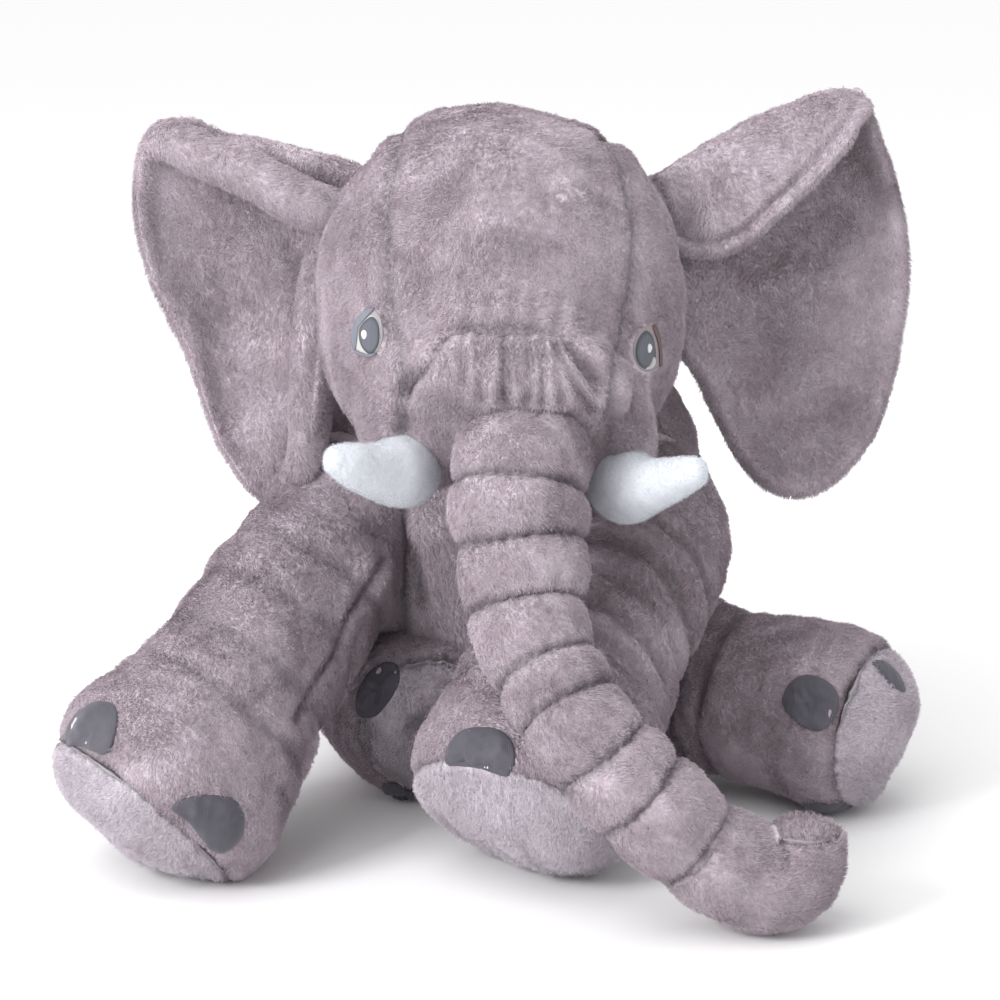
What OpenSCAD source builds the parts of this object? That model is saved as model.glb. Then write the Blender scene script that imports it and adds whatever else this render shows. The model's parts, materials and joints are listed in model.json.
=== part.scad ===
// Sitting plush elephant: sewn fabric panels over separate fillings.
// The toy faces -Y, +Z is up, +X is the toy's own left side.
// Every soft piece is a smooth loft; skins are the outer wall of a loft and
// fillings are the core inside it. Limbs, trunk, ears, head and tail turn on
// padded ball roots that sit in matching pockets.

/* [Fabric] */
// Thickness of the plush fabric with its pile pressed flat
fabric = 2.2; // [1.5:0.1:3]
// Clearance between a filling and the fabric around it
slack = 0.1; // [0.05:0.05:0.3]
// Clearance around every moving root, over its whole travel
gap = 0.8; // [0.5:0.1:1.2]

/* [Head] */
// Width of the head across the cheeks
head_w = 228; // [222:1:232]
// Height of the middle of the head above the seat
head_z = 332; // [330:1:334]
// Sideways distance of the left forehead seam from the middle plane
seam_left = 78; // [70:1:84]
// Sideways distance of the right forehead seam from the middle plane
seam_right = 66; // [60:1:72]
// Thickness of the embroidered eyes
eye_t = 1.2; // [0.8:0.1:1.6]

/* [Trunk] */
// Scale of the trunk's thickness
trunk_scale = 1; // [0.94:0.01:1.02]

/* [Ears] */
// Thickness of the batting inside each ear
ear_batting = 11; // [8:0.5:12]
// Thickness of the folded-over top of each ear
ear_fold = 12; // [8:0.5:14]

/* [Legs] */
// Scale of the legs' thickness
leg_scale = 1; // [0.94:0.01:1.02]
// Thickness of the satin nails
nail_t = 1.4; // [1:0.1:2]

/* [Body] */
// Width of the body
body_w = 274; // [266:1:278]
// Half width of the belly panel
belly_half = 62; // [50:1:70]

/* [Hidden] */

plush = [0.70, 0.64, 0.69];
plush_dark = [0.56, 0.50, 0.54];
sole_grey = [0.79, 0.77, 0.81];
satin = [0.46, 0.45, 0.49];
velour = [0.95, 0.95, 0.96];
stuffing = [0.97, 0.97, 0.94];

// Centre line of each limb: [x, y, z, radius]
foreleg_l = [[98,34,170,48],[84,6,152,54],[65,-28,130,55],[47,-64,107,58],[32,-98,85,65],
    [20,-121,63,71],[13,-134,46,67],[8,-143,35,52],[5,-147,29,31],[4,-148,27,4]];
foreleg_r = [[-104,34,158,46],[-119,6,151,54],[-138,-30,126,56],[-159,-66,99,58],[-179,-93,76,67],
    [-197,-112,56,74],[-212,-122,40,67],[-220,-128,31,52],[-225,-131,25,30],[-227,-132,23,4]];
hindleg_l = [[86,92,70,46],[110,74,66,51],[138,52,63,52],[165,32,61,54],[192,14,60,57],
    [214,0,59,58],[231,-10,57,52],[242,-17,56,39],[249,-21,55,21],[251,-22,55,4]];
hindleg_r = [[-84,92,70,46],[-77,72,66,51],[-69,53,63,52],[-61,36,60,54],[-54,20,58,56],
    [-48,6,57,55],[-45,-5,56,47],[-44,-12,55,34],[-43,-16,54,18],[-43,-17,54,4]];
muzzle = [[8,-44,326,36],[10,-70,315,45],[12,-94,301,48],[13,-109,289,47],[13,-115,281,45]];
trunk = [[13,-118,273,44],[12,-134,253,44],[11,-147,230,42],[12,-159,200,39],
    [16,-172,171,35],[30,-192,143,32],[52,-211,113,32],[80,-218,83,32],[111,-218,54,31],
    [130,-215,41,30],[154,-212,33,28],[176,-210,32,26],[190,-208,37,21],[196,-207,41,12],[197,-207,42,3]];
tusk_l = [[38,-70,243,17],[61,-91,239,18.5],[76,-112,240,18],[94,-130,244,16],[108,-142,250,12],[114,-147,254,8],[116,-149,256,2]];
tusk_r = [[-24,-72,246,17],[-44,-94,244,19],[-60,-112,244,18],[-76,-129,248,16],[-90,-141,255,12],[-96,-146,260,8],[-98,-148,262,2]];
tail = [[0,222,92,15],[0,230,89,14],[0,250,76,12],[0,262,62,11],[0,272,46,10],[0,280,30,13],[0,284,19,12],[0,286,11,7],[0,287,8,2]];

// Turning points
neck_c = [0, 62, 262];
shoulder_l = [98, 34, 170];
shoulder_r = [-104, 34, 158];
hip_l = [86, 92, 70];
hip_r = [-84, 92, 70];
trunk_c1 = [13, -118, 273];
trunk_c2 = [16, -172, 171];
trunk_c3 = [111, -218, 54];
trunk_d1 = [0, -0.4, -0.92];
trunk_d2 = [0.25, -0.47, -0.85];
trunk_d3 = [0.81, 0.02, -0.59];
leg_ball = 42;
neck_ball = 46;
trunk_balls = [38, 29, 25];
tail_ball = 11;
// Open space left at each trunk joint, before and after its turning point
fold_in = 6;
fold_out = 8;
tail_c = [0, 222, 92];
ear_l_c = [104, 34, 325];
ear_r_c = [-108, 34, 325];
ear_l_ax = [0.2, 0, -0.98];
ear_r_ax = [0.1, 0, 0.995];

// Level rings of the torso: [height, middle y, half width, half depth]
torso_rings = [[0,120,84,76],[5,120,96,88],[22,120,113,104],[60,119,130,117],[110,117,137,121],
    [160,112,137,114],[200,105,131,103],[238,96,116,87],[268,88,93,67],[288,84,62,44],[298,82,30,20],[301,82,4,3]];
// Level rings of the head: [height from the middle, middle y, half width, half depth]
head_rings = [[-108,-2,36,36],[-100,-4,64,62],[-86,-5,87,84],[-64,-3,102,102],[-40,0,110,110],
    [-6,0,114,114],[26,0,111,111],[56,0,99,100],[82,0,80,81],[100,1,55,55],[110,1,27,27],[113,1,4,4]];

// Ear outlines seen from the front: [x, z]
ear_outline_l = [[90,398],[112,418],[140,434],[168,444],[196,449],[222,450],[236,440],[244,420],[253,396],
    [258,350],[254,312],[246,268],[232,228],[214,206],[192,194],[172,192],[152,204],[136,228],[126,250],[121,270],
    [121,310],[119,340],[112,366],[102,384]];
ear_fold_l = [[92,400],[112,418],[140,434],[168,444],[196,449],[222,450],[234,441],[220,428],[204,410],[186,390],[166,370],[148,356],[130,352],[114,362],[104,380]];
ear_outline_r = [[-98,404],[-120,413],[-146,420],[-170,424],[-190,432],[-208,434],[-220,424],[-230,402],[-232,372],
    [-224,340],[-212,306],[-198,268],[-184,232],[-172,208],[-156,194],[-138,190],[-124,202],[-118,222],[-116,250],
    [-118,300],[-118,340],[-114,366],[-106,388]];
ear_fold_r = [[-100,404],[-120,413],[-146,420],[-170,424],[-190,432],[-208,434],[-218,422],[-216,408],[-196,400],[-172,388],[-148,374],[-126,362],[-116,366],[-108,386]];

function cr(a,b,c,d,t) = 0.5*((2*b)+(c-a)*t+(2*a-5*b+4*c-d)*t*t+(3*b-a-3*c+d)*t*t*t);
// Smooth curve through the points, m steps to each span
function smooth(p, m=1) = [for (i=[0:len(p)-2]) for (k=[0:m-1])
    cr(p[max(i-1,0)], p[i], p[i+1], p[min(i+2,len(p)-1)], k/m), p[len(p)-1]];
function xyz(p) = [p[0],p[1],p[2]];
function unit(v) = v/norm(v);
function dirs(p) = [for (i=[0:len(p)-1]) unit(xyz(p[min(i+1,len(p)-1)])-xyz(p[max(i-1,0)]))];
// Ring of n points of radius r about c, square to direction t
function ring(c,t,r,ref,n) = let(s=unit(cross(t,ref)),u=cross(s,t))
    [for (k=[0:n-1]) let(a=360*k/n) c+r*(cos(a)*s+sin(a)*u)];
function flat(l) = [for (a=l) for (b=a) b];
function faces(m,n) = concat([[for (k=[0:n-1]) k]], [[for (k=[n-1:-1:0]) (m-1)*n+k]],
    flat([for (i=[0:m-2]) flat([for (k=[0:n-1]) let(a=i*n+k,b=i*n+(k+1)%n,c=a+n,d=b+n) [[a,c,b],[b,c,d]]])]));

function flip(l) = [for (f=l) [for (j=[len(f)-1:-1:0]) f[j]]];

// Rings of a centre line from station i0 to i1, grown by g and flat where they meet the seat plane
function rings(p, i0, i1, g, ref, n) = let(s=smooth(p), d=dirs(s), z0=max(0,-g))
    flat([for (i=[i0:i1]) [for (q=ring(xyz(s[i]), d[i], max(s[i][3]+g,0.6), ref, n)) [q[0],q[1],max(q[2],z0)]]]);
function last(p) = len(smooth(p))-1;
// Solid through the rings of a centre line, from station i0 to i1, grown by g
module limb(p, i0=0, i1=-1, g=0, ref=[0,1,0], n=14) {
    e = i1 < 0 ? last(p) : i1;
    polyhedron(points=rings(p,i0,e,g,ref,n), faces=flip(faces(e-i0+1, n)), convexity=6);
}
function sides(m, n, o) = flat([for (i=[0:m-2]) flat([for (k=[0:n-1]) let(a=o+i*n+k,b=o+i*n+(k+1)%n,c=a+n,d=b+n) [[b,c,a],[d,c,b]]])]);
function rim(n, a, b) = flat([for (k=[0:n-1]) let(l=(k+1)%n) [[a+k,b+k,a+l],[a+l,b+k,b+l]]]);
// Open tube of wall t between stations i0 and i1
module tube(p, i0, i1, t, ref, n=14) { m = i1-i0+1;
    polyhedron(points=concat(rings(p,i0,i1,0,ref,n), rings(p,i0,i1,-t,ref,n)),
        faces=concat(sides(m,n,0), flip(sides(m,n,m*n)), rim(n,0,m*n), flip(rim(n,(m-1)*n,(2*m-1)*n))), convexity=6);
}
// Cup of wall t from station i0, closed at the far end
module cup(p, i0, t, ref, n=14) { m = last(p)-i0+1; k = m-1; o = m*n;
    polyhedron(points=concat(rings(p,i0,last(p),0,ref,n), rings(p,i0,last(p)-1,-t,ref,n)),
        faces=concat(sides(m,n,0), flip(sides(k,n,o)), rim(n,0,o),
            [[for (j=[0:n-1]) (m-1)*n+j]], [[for (j=[n-1:-1:0]) o+(k-1)*n+j]]), convexity=6);
}
// Solid through level rings, grown by g
module stack(p, z0, w, g=0, n=28) {
    s = smooth(p, 1); m = len(s);
    pts = flat([for (i=[0:m-1]) let(q=s[i], h = q[0] + (i==0 ? -g : i==m-1 ? g : 0)) [for (k=[0:n-1]) let(a=360*k/n)
        [w*max(q[2]+g,0.6)*cos(a), q[1]+max(q[3]+g,0.6)*sin(a), z0+h]]]);
    polyhedron(points=pts, faces=faces(m,n), convexity=6);
}
module about(c, ax, a) { translate(c) rotate(a, ax) translate(-c) children(); }
module above() { translate([-400,-400,0]) cube([800,800,700]); }
// One body, evaluated as a single clean mesh
module clean() { resize([0,0,0]) children(); }

// Half space on the far side (s=1) or near side (s=-1) of a plane at distance o from c along d
module half(c, d, o, s) { t=unit(d); x=unit(cross(t,[0,1,0.01])); y=cross(t,x);
    multmatrix([[x[0],y[0],t[0],c[0]],[x[1],y[1],t[1],c[1]],[x[2],y[2],t[2],c[2]],[0,0,0,1]])
        translate([-300,-300,s>0?o:o-600]) cube([600,600,600]); }

// ---- limbs -------------------------------------------------------------
seam = 6; // station of the sole seam on every leg
ball_fn = 20;
module ball(c, r) { translate(c) sphere(r, $fn=ball_fn); }
// Pocket for a ball root: clears its facets at every angle
module pocket(c, r) { ball(c, (r+gap*0.6)/pow(cos(180/ball_fn),2)); }
module leg_skin(p, ref) { tube(p, 1, seam, fabric, ref); }
module leg_sole(p, ref) { cup(p, seam, fabric, ref); }
module leg_fill(p, ref) { clean() union() { limb(p, 1, 8, -fabric-slack, ref); ball(xyz(p[0]), leg_ball); } }
// Satin nails: pads bent over the rim of the foot just above the sole seam
module leg_nails(p, ref, angles, w=36, h=30) { clean() intersection() {
    difference() { limb(p, 3, seam, nail_t, ref); limb(p, 3, seam, 0.1, ref); }
    for (a=angles) nail_cutter(p, ref, a, w, h); above(); } }
module nail_cutter(p, ref, a, w, h) { d = dirs(p); q = (p[seam-1]+p[seam])/2; dd = d[seam-1];
    sx = unit(cross(dd,ref)); ux = cross(sx,dd); o = cos(a)*sx+sin(a)*ux; t = cross(dd,o);
    c = xyz(q)+o*q[3];
    multmatrix([[t[0],dd[0],o[0],c[0]],[t[1],dd[1],o[1],c[1]],[t[2],dd[2],o[2],c[2]],[0,0,0,1]])
        translate([0,-6,-16]) linear_extrude(34) intersection() { scale([w/2,h*0.7]) circle(1,$fn=18); translate([-w,-2*h]) square([2*w,2*h+8]); } }
module sweep_leg(p, c, ax, ref, list, e=5, g=1) { for (a=list) about(c,ax,a) limb(p, 0, e, g, ref); pocket(c, leg_ball); }

// ---- torso -------------------------------------------------------------
module torso_solid(g=0) { stack(torso_rings, 0, body_w/274, g); }
module torso_cuts() {
    sweep_leg(foreleg_l, shoulder_l, [0,0,1], [0,1,0], [-8,-3,2]);
    sweep_leg(foreleg_r, shoulder_r, [0,0,1], [0,1,0], [-18,-7,4]);
    sweep_leg(hindleg_l, hip_l, [1,0,0], [0,0,1], [0,8,16]);
    sweep_leg(hindleg_r, hip_r, [1,0,0], [0,0,1], [0,5,11,16], 9, nail_t+gap+0.4);
    for (a=[0,-6,-12]) about(neck_c,[1,0,0],a) head_solid(gap);
    pocket(neck_c, neck_ball);
    for (a=[-20,-10,0,10,20]) about(tail_c,[1,0,0],a) limb(tail, 0, 3, gap+0.4, [1,0,0], 10);
    pocket(tail_c, tail_ball);
}
module torso_wall() { difference() { torso_solid(); intersection() { torso_solid(-fabric); translate([0,0,fabric]) above(); } } }
module side_of(s) { translate([s>0 ? 0 : -400, -400, -10]) cube([400,1000,700]); }
module belly_zone() { translate([-belly_half,-400,-10]) cube([2*belly_half,400+130,266]); }
module torso_filling() { color(stuffing) clean() difference() { intersection() { torso_solid(-fabric-slack); translate([0,0,fabric+slack]) above(); } torso_cuts(); } }
module belly_panel() { color(plush) clean() difference() { intersection() { torso_wall(); belly_zone(); } torso_cuts(); } }
module torso_side(s) { color(plush) clean() difference() { intersection() { torso_wall(); side_of(s); } belly_zone(); torso_cuts(); } }

// ---- head --------------------------------------------------------------
module head_ball(g=0) { stack(head_rings, head_z, head_w/228, g); }
module head_solid(g=0) { head_ball(g); limb(muzzle, 0, -1, g, [0,1,0], 16); }
module head_wall() { difference() { head_solid(); head_solid(-fabric); } }
module neck_zone(g=0) { ball(neck_c, neck_ball+g); }
module tusk_cut() { limb(tusk_l, 0, 5, 0.1, [0,0,1], 12); limb(tusk_r, 0, 5, 0.1, [0,0,1], 12); }
module ear_cut() { for (a=[-24,-12,0,10]) { about(ear_l_c, ear_l_ax, a) ear_solid(ear_outline_l, 1); about(ear_r_c, ear_r_ax, a) ear_solid(ear_outline_r, -1); } }
module trunk_cut() { for (a=[5,0,-9,-18]) about(trunk_c1,[1,0,0],a) difference() { limb(trunk, 0, 4, gap+1.6, [0,1,0], 16); half(trunk_c1, trunk_d1, fold_out-3, -1); } }
// Relief behind the trunk's root
module root_relief() { hull() { ball([-12,-87,249],5); ball([22,-87,249],5); } }
module head_cuts() { pocket(trunk_c1, trunk_balls[0]); tusk_cut(); ear_cut(); trunk_cut(); root_relief(); }
module band(a, b, z0, z1) { translate([-a,-300,z0]) cube([a+b,600,z1-z0]); }
module forehead_panel() { color(plush) clean() difference() { intersection() { head_wall(); band(seam_right,seam_left,head_z-40,600); } head_cuts(); } }
module chin_panel() { color(plush) clean() difference() { intersection() { head_wall(); band(seam_right,seam_left,100,head_z-40); } neck_zone(0.3); head_cuts(); } }
module cheek(s) { color(plush) clean() difference() { intersection() { head_wall(); side_of(s); } band(seam_right,seam_left,0,700); neck_zone(0.3); head_cuts(); } }
module head_filling() { color(stuffing) clean() difference() { union() { head_solid(-fabric-slack); neck_zone(); } head_cuts(); } }
module eye(x, z, w, h) { color(satin) clean() intersection() { difference() { head_solid(eye_t); head_solid(0.1); }
    translate([x,0,z]) rotate([90,0,0]) linear_extrude(200) scale([w/2,h/2]) circle(1,$fn=20); } }
module tusk_cover(p) { color(velour) cup(p, 1, 1.6, [0,0,1], 12); }
module tusk_fill(p) { color(stuffing) limb(p, 1, 5, -1.7, [0,0,1], 12); }

// ---- trunk -------------------------------------------------------------
mid = 4; tip = 8; cap = 11; // stations of the two lower joints and of the tip seam
module trunk_wall(i0, i1) { difference() { limb(trunk, i0, i1, 0, [0,1,0], 16); limb(trunk, max(i0-1,0), min(i1+1,13), -fabric, [0,1,0], 16); } }
module trunk_core(i0, i1) { limb(trunk, i0, i1, -fabric-slack, [0,1,0], 16); }
module upper_span() { half(trunk_c1, trunk_d1, fold_out, -1); half(trunk_c2, trunk_d2, -fold_in, 1); }
module middle_span() { half(trunk_c2, trunk_d2, fold_out, -1); half(trunk_c3, trunk_d3, -fold_in, 1); }
module lower_span() { half(trunk_c3, trunk_d3, fold_out, -1); }
module upper_trunk_skin() { color(plush) clean() difference() { trunk_wall(0, mid); upper_span(); } }
module upper_trunk_filling() { color(stuffing) clean() difference() { union() { difference() { trunk_core(0, mid); upper_span(); } ball(trunk_c1, trunk_balls[0]); } pocket(trunk_c2, trunk_balls[1]); } }
module middle_trunk_skin() { color(plush) clean() difference() { intersection() { trunk_wall(mid, tip); above(); } middle_span(); } }
module middle_trunk_filling() { color(stuffing) clean() difference() { union() { difference() { trunk_core(mid, tip); middle_span(); } ball(trunk_c2, trunk_balls[1]); } pocket(trunk_c3, trunk_balls[2]); } }
module lower_trunk_skin() { color(plush) clean() difference() { intersection() { trunk_wall(tip, cap); above(); } lower_span(); } }
module lower_trunk_filling() { color(stuffing) clean() union() { difference() { intersection() { trunk_core(tip, 13); translate([0,0,fabric+slack]) above(); } lower_span(); } ball(trunk_c3, trunk_balls[2]); } }
module trunk_tip_panel() { color(plush_dark) cup(trunk, cap, fabric, [0,1,0], 16); }

// ---- ears --------------------------------------------------------------
// Plate between depths y0 and y1, swung back a little towards its outer edge
module ear_plate(o, s, y0, y1) { c = s > 0 ? ear_l_c : ear_r_c;
    about(c, [0,0,1], s*10) translate([0,y1,0]) rotate([90,0,0]) linear_extrude(y1-y0) polygon(o); }
module ear_solid(o, s) { ear_plate(o, s, 26-gap, 26+2*fabric+ear_batting+gap); }
function shrink(f) = let(c=[for (j=[0,1]) (min([for (q=f) q[j]])+max([for (q=f) q[j]]))/2]) [for (q=f) c+(q-c)*0.97];
module ear_front(o, f, s) { color(plush) union() { ear_plate(o, s, 26, 26+fabric); ear_plate(shrink(f), s, 26-ear_fold, 26); } }
module ear_middle(o, s) { color(stuffing) ear_plate(o, s, 26+fabric, 26+fabric+ear_batting); }
module ear_back(o, s) { color(plush_dark) ear_plate(o, s, 26+fabric+ear_batting, 26+2*fabric+ear_batting); }

// ---- tail --------------------------------------------------------------
module tail_skin() { color(plush) cup(tail, 1, fabric, [1,0,0], 10); }
module tail_filling() { color(stuffing) clean() union() { limb(tail, 1, 7, -fabric-slack, [1,0,0], 10); ball(tail_c, tail_ball); } }

// Puts the middle of the whole toy's footprint on the origin
module place() { translate([1.5,-22.5,0]) children(); }

Y = [0,1,0]; Z = [0,0,1];
place() torso_filling();
place() torso_side(1);  // torso_left_panel
place() torso_side(-1);  // torso_right_panel
place() belly_panel();
place() head_filling();
place() forehead_panel();
place() cheek(1);  // left_cheek_panel
place() cheek(-1);  // right_cheek_panel
place() chin_panel();
place() eye(84, 313, 13, 27);  // left_eye
place() eye(-77, 322, 14, 26);  // right_eye
place() tusk_cover(tusk_l);  // left_tusk_cover
place() tusk_fill(tusk_l);  // left_tusk_filling
place() tusk_cover(tusk_r);  // right_tusk_cover
place() tusk_fill(tusk_r);  // right_tusk_filling
place() upper_trunk_skin();
place() upper_trunk_filling();
place() middle_trunk_skin();
place() middle_trunk_filling();
place() lower_trunk_skin();
place() lower_trunk_filling();
place() trunk_tip_panel();
place() ear_front(ear_outline_l, ear_fold_l, 1);  // left_ear_front_panel
place() ear_middle(ear_outline_l, 1);  // left_ear_batting
place() ear_back(ear_outline_l, 1);  // left_ear_back_panel
place() ear_front(ear_outline_r, ear_fold_r, -1);  // right_ear_front_panel
place() ear_middle(ear_outline_r, -1);  // right_ear_batting
place() ear_back(ear_outline_r, -1);  // right_ear_back_panel
place() color(plush) leg_skin(foreleg_l, Y);  // left_foreleg_skin
place() color(sole_grey) leg_sole(foreleg_l, Y);  // left_foreleg_sole
place() color(satin) leg_nails(foreleg_l, Y, [222, 299, 16]);  // left_foreleg_nails
place() color(stuffing) leg_fill(foreleg_l, Y);  // left_foreleg_filling
place() color(plush) leg_skin(foreleg_r, Y);  // right_foreleg_skin
place() color(sole_grey) leg_sole(foreleg_r, Y);  // right_foreleg_sole
place() color(satin) leg_nails(foreleg_r, Y, [208, 285, 132]);  // right_foreleg_nails
place() color(stuffing) leg_fill(foreleg_r, Y);  // right_foreleg_filling
place() color(plush) leg_skin(hindleg_l, Z);  // left_hindleg_skin
place() color(sole_grey) leg_sole(hindleg_l, Z);  // left_hindleg_sole
place() color(satin) leg_nails(hindleg_l, Z, [25, 122, 290]);  // left_hindleg_nails
place() color(stuffing) leg_fill(hindleg_l, Z);  // left_hindleg_filling
place() color(plush) leg_skin(hindleg_r, Z);  // right_hindleg_skin
place() color(sole_grey) leg_sole(hindleg_r, Z);  // right_hindleg_sole
place() color(satin) leg_nails(hindleg_r, Z, [35, 118, 300]);  // right_hindleg_nails
place() color(stuffing) leg_fill(hindleg_r, Z);  // right_hindleg_filling
place() tail_skin();
place() tail_filling();
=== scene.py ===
import bpy
import json
import math
import numpy as np
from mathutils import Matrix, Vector
from mathutils.bvhtree import BVHTree

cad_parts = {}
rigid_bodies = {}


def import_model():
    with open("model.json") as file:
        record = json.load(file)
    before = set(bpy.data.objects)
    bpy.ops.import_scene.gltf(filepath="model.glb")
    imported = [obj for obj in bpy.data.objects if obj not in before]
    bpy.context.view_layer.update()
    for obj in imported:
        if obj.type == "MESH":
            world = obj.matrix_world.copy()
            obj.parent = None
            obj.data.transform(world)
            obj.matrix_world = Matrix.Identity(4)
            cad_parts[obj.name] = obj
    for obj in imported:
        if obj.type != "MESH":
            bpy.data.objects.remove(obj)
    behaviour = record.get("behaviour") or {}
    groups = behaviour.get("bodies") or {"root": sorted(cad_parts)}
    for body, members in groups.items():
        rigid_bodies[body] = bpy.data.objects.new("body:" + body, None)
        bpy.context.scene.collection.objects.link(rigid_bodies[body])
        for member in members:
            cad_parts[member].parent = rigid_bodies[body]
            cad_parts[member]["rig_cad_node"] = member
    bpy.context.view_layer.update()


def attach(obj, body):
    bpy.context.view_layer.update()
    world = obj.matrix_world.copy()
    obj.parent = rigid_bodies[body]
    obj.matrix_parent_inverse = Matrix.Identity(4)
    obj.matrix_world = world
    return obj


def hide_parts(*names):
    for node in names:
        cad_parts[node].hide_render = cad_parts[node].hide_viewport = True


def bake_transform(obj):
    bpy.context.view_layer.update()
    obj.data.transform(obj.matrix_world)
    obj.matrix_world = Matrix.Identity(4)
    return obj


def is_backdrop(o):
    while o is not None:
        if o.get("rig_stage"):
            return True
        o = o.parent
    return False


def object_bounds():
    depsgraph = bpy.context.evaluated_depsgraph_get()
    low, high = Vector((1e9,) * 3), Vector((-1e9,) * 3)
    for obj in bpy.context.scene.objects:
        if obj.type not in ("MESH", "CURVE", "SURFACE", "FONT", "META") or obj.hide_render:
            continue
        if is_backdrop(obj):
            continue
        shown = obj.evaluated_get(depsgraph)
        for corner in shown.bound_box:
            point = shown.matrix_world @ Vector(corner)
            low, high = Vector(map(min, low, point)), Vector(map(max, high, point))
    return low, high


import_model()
scene = bpy.context.scene
SHIFT = np.array([1.5, -22.5, 0.0])       # mm, footprint of the toy centred on the origin
RNG = np.random.default_rng(20)

# ------------------------------------------------------------------ view
EL = math.radians(14.0)
DIST = 1900.0
FOC = DIST / 0.62
CAM = np.array([0, -DIST * math.cos(EL), 200 + DIST * math.sin(EL)])
FW = np.array([0, math.cos(EL), -math.sin(EL)])
UP = np.array([0, math.sin(EL), math.cos(EL)])
RT = np.array([1.0, 0, 0])


def look(u, v):
    d = FW + (u - 500) / FOC * RT + (500 - v) / FOC * UP
    return d / np.linalg.norm(d)


def seen(P):
    P = np.atleast_2d(P) - CAM
    d = P @ FW
    return np.stack([500 + FOC * (P @ RT) / d, 500 - FOC * (P @ UP) / d], 1)


def put(u, v, y):
    """Point at depth y that shows at u, v from the front."""
    d = look(u, v)
    return CAM + d * ((y - CAM[1]) / d[1])


# ------------------------------------------------------------------ helpers
def unit(v):
    return v / np.maximum(np.linalg.norm(v, axis=-1, keepdims=True), 1e-9)


def curve(P, m):
    P = np.array(P, float)
    k = len(P)
    out = []
    for i in range(k - 1):
        a, b, c, d = P[max(i - 1, 0)], P[i], P[i + 1], P[min(i + 2, k - 1)]
        t = (np.arange(m) / m)[:, None]
        out.append(0.5 * ((2 * b) + (c - a) * t + (2 * a - 5 * b + 4 * c - d) * t * t + (3 * b - a - 3 * c + d) * t ** 3))
    out.append(P[-1:])
    return np.concatenate(out)


def stations(P, step):
    """Rows x, y, z, r, t along a centre line, evenly spaced by step over length and radius."""
    P = np.array(P, float)
    P = np.column_stack([P, np.arange(len(P))])
    C = curve(P, 24)
    C[:, 4] = np.linspace(0, len(P) - 1, len(C))
    d = np.sqrt((np.diff(C[:, :4], axis=0) ** 2).sum(1))
    s = np.concatenate([[0], np.cumsum(d)])
    n = max(int(s[-1] / step), 4)
    q = np.linspace(0, s[-1], n + 1)
    return np.column_stack([np.interp(q, s, C[:, j]) for j in range(5)])


def waves(P, wavelength, seed, n=10):
    r = np.random.default_rng(seed)
    k = unit(r.normal(size=(n, 3))) * (2 * math.pi / wavelength) * r.uniform(0.7, 1.3, (n, 1))
    ph = r.uniform(0, 2 * math.pi, n)
    return np.cos(P @ k.T + ph).sum(1) / math.sqrt(n)


def bell(d, w):
    return np.exp(-(d / w) ** 2)


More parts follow.
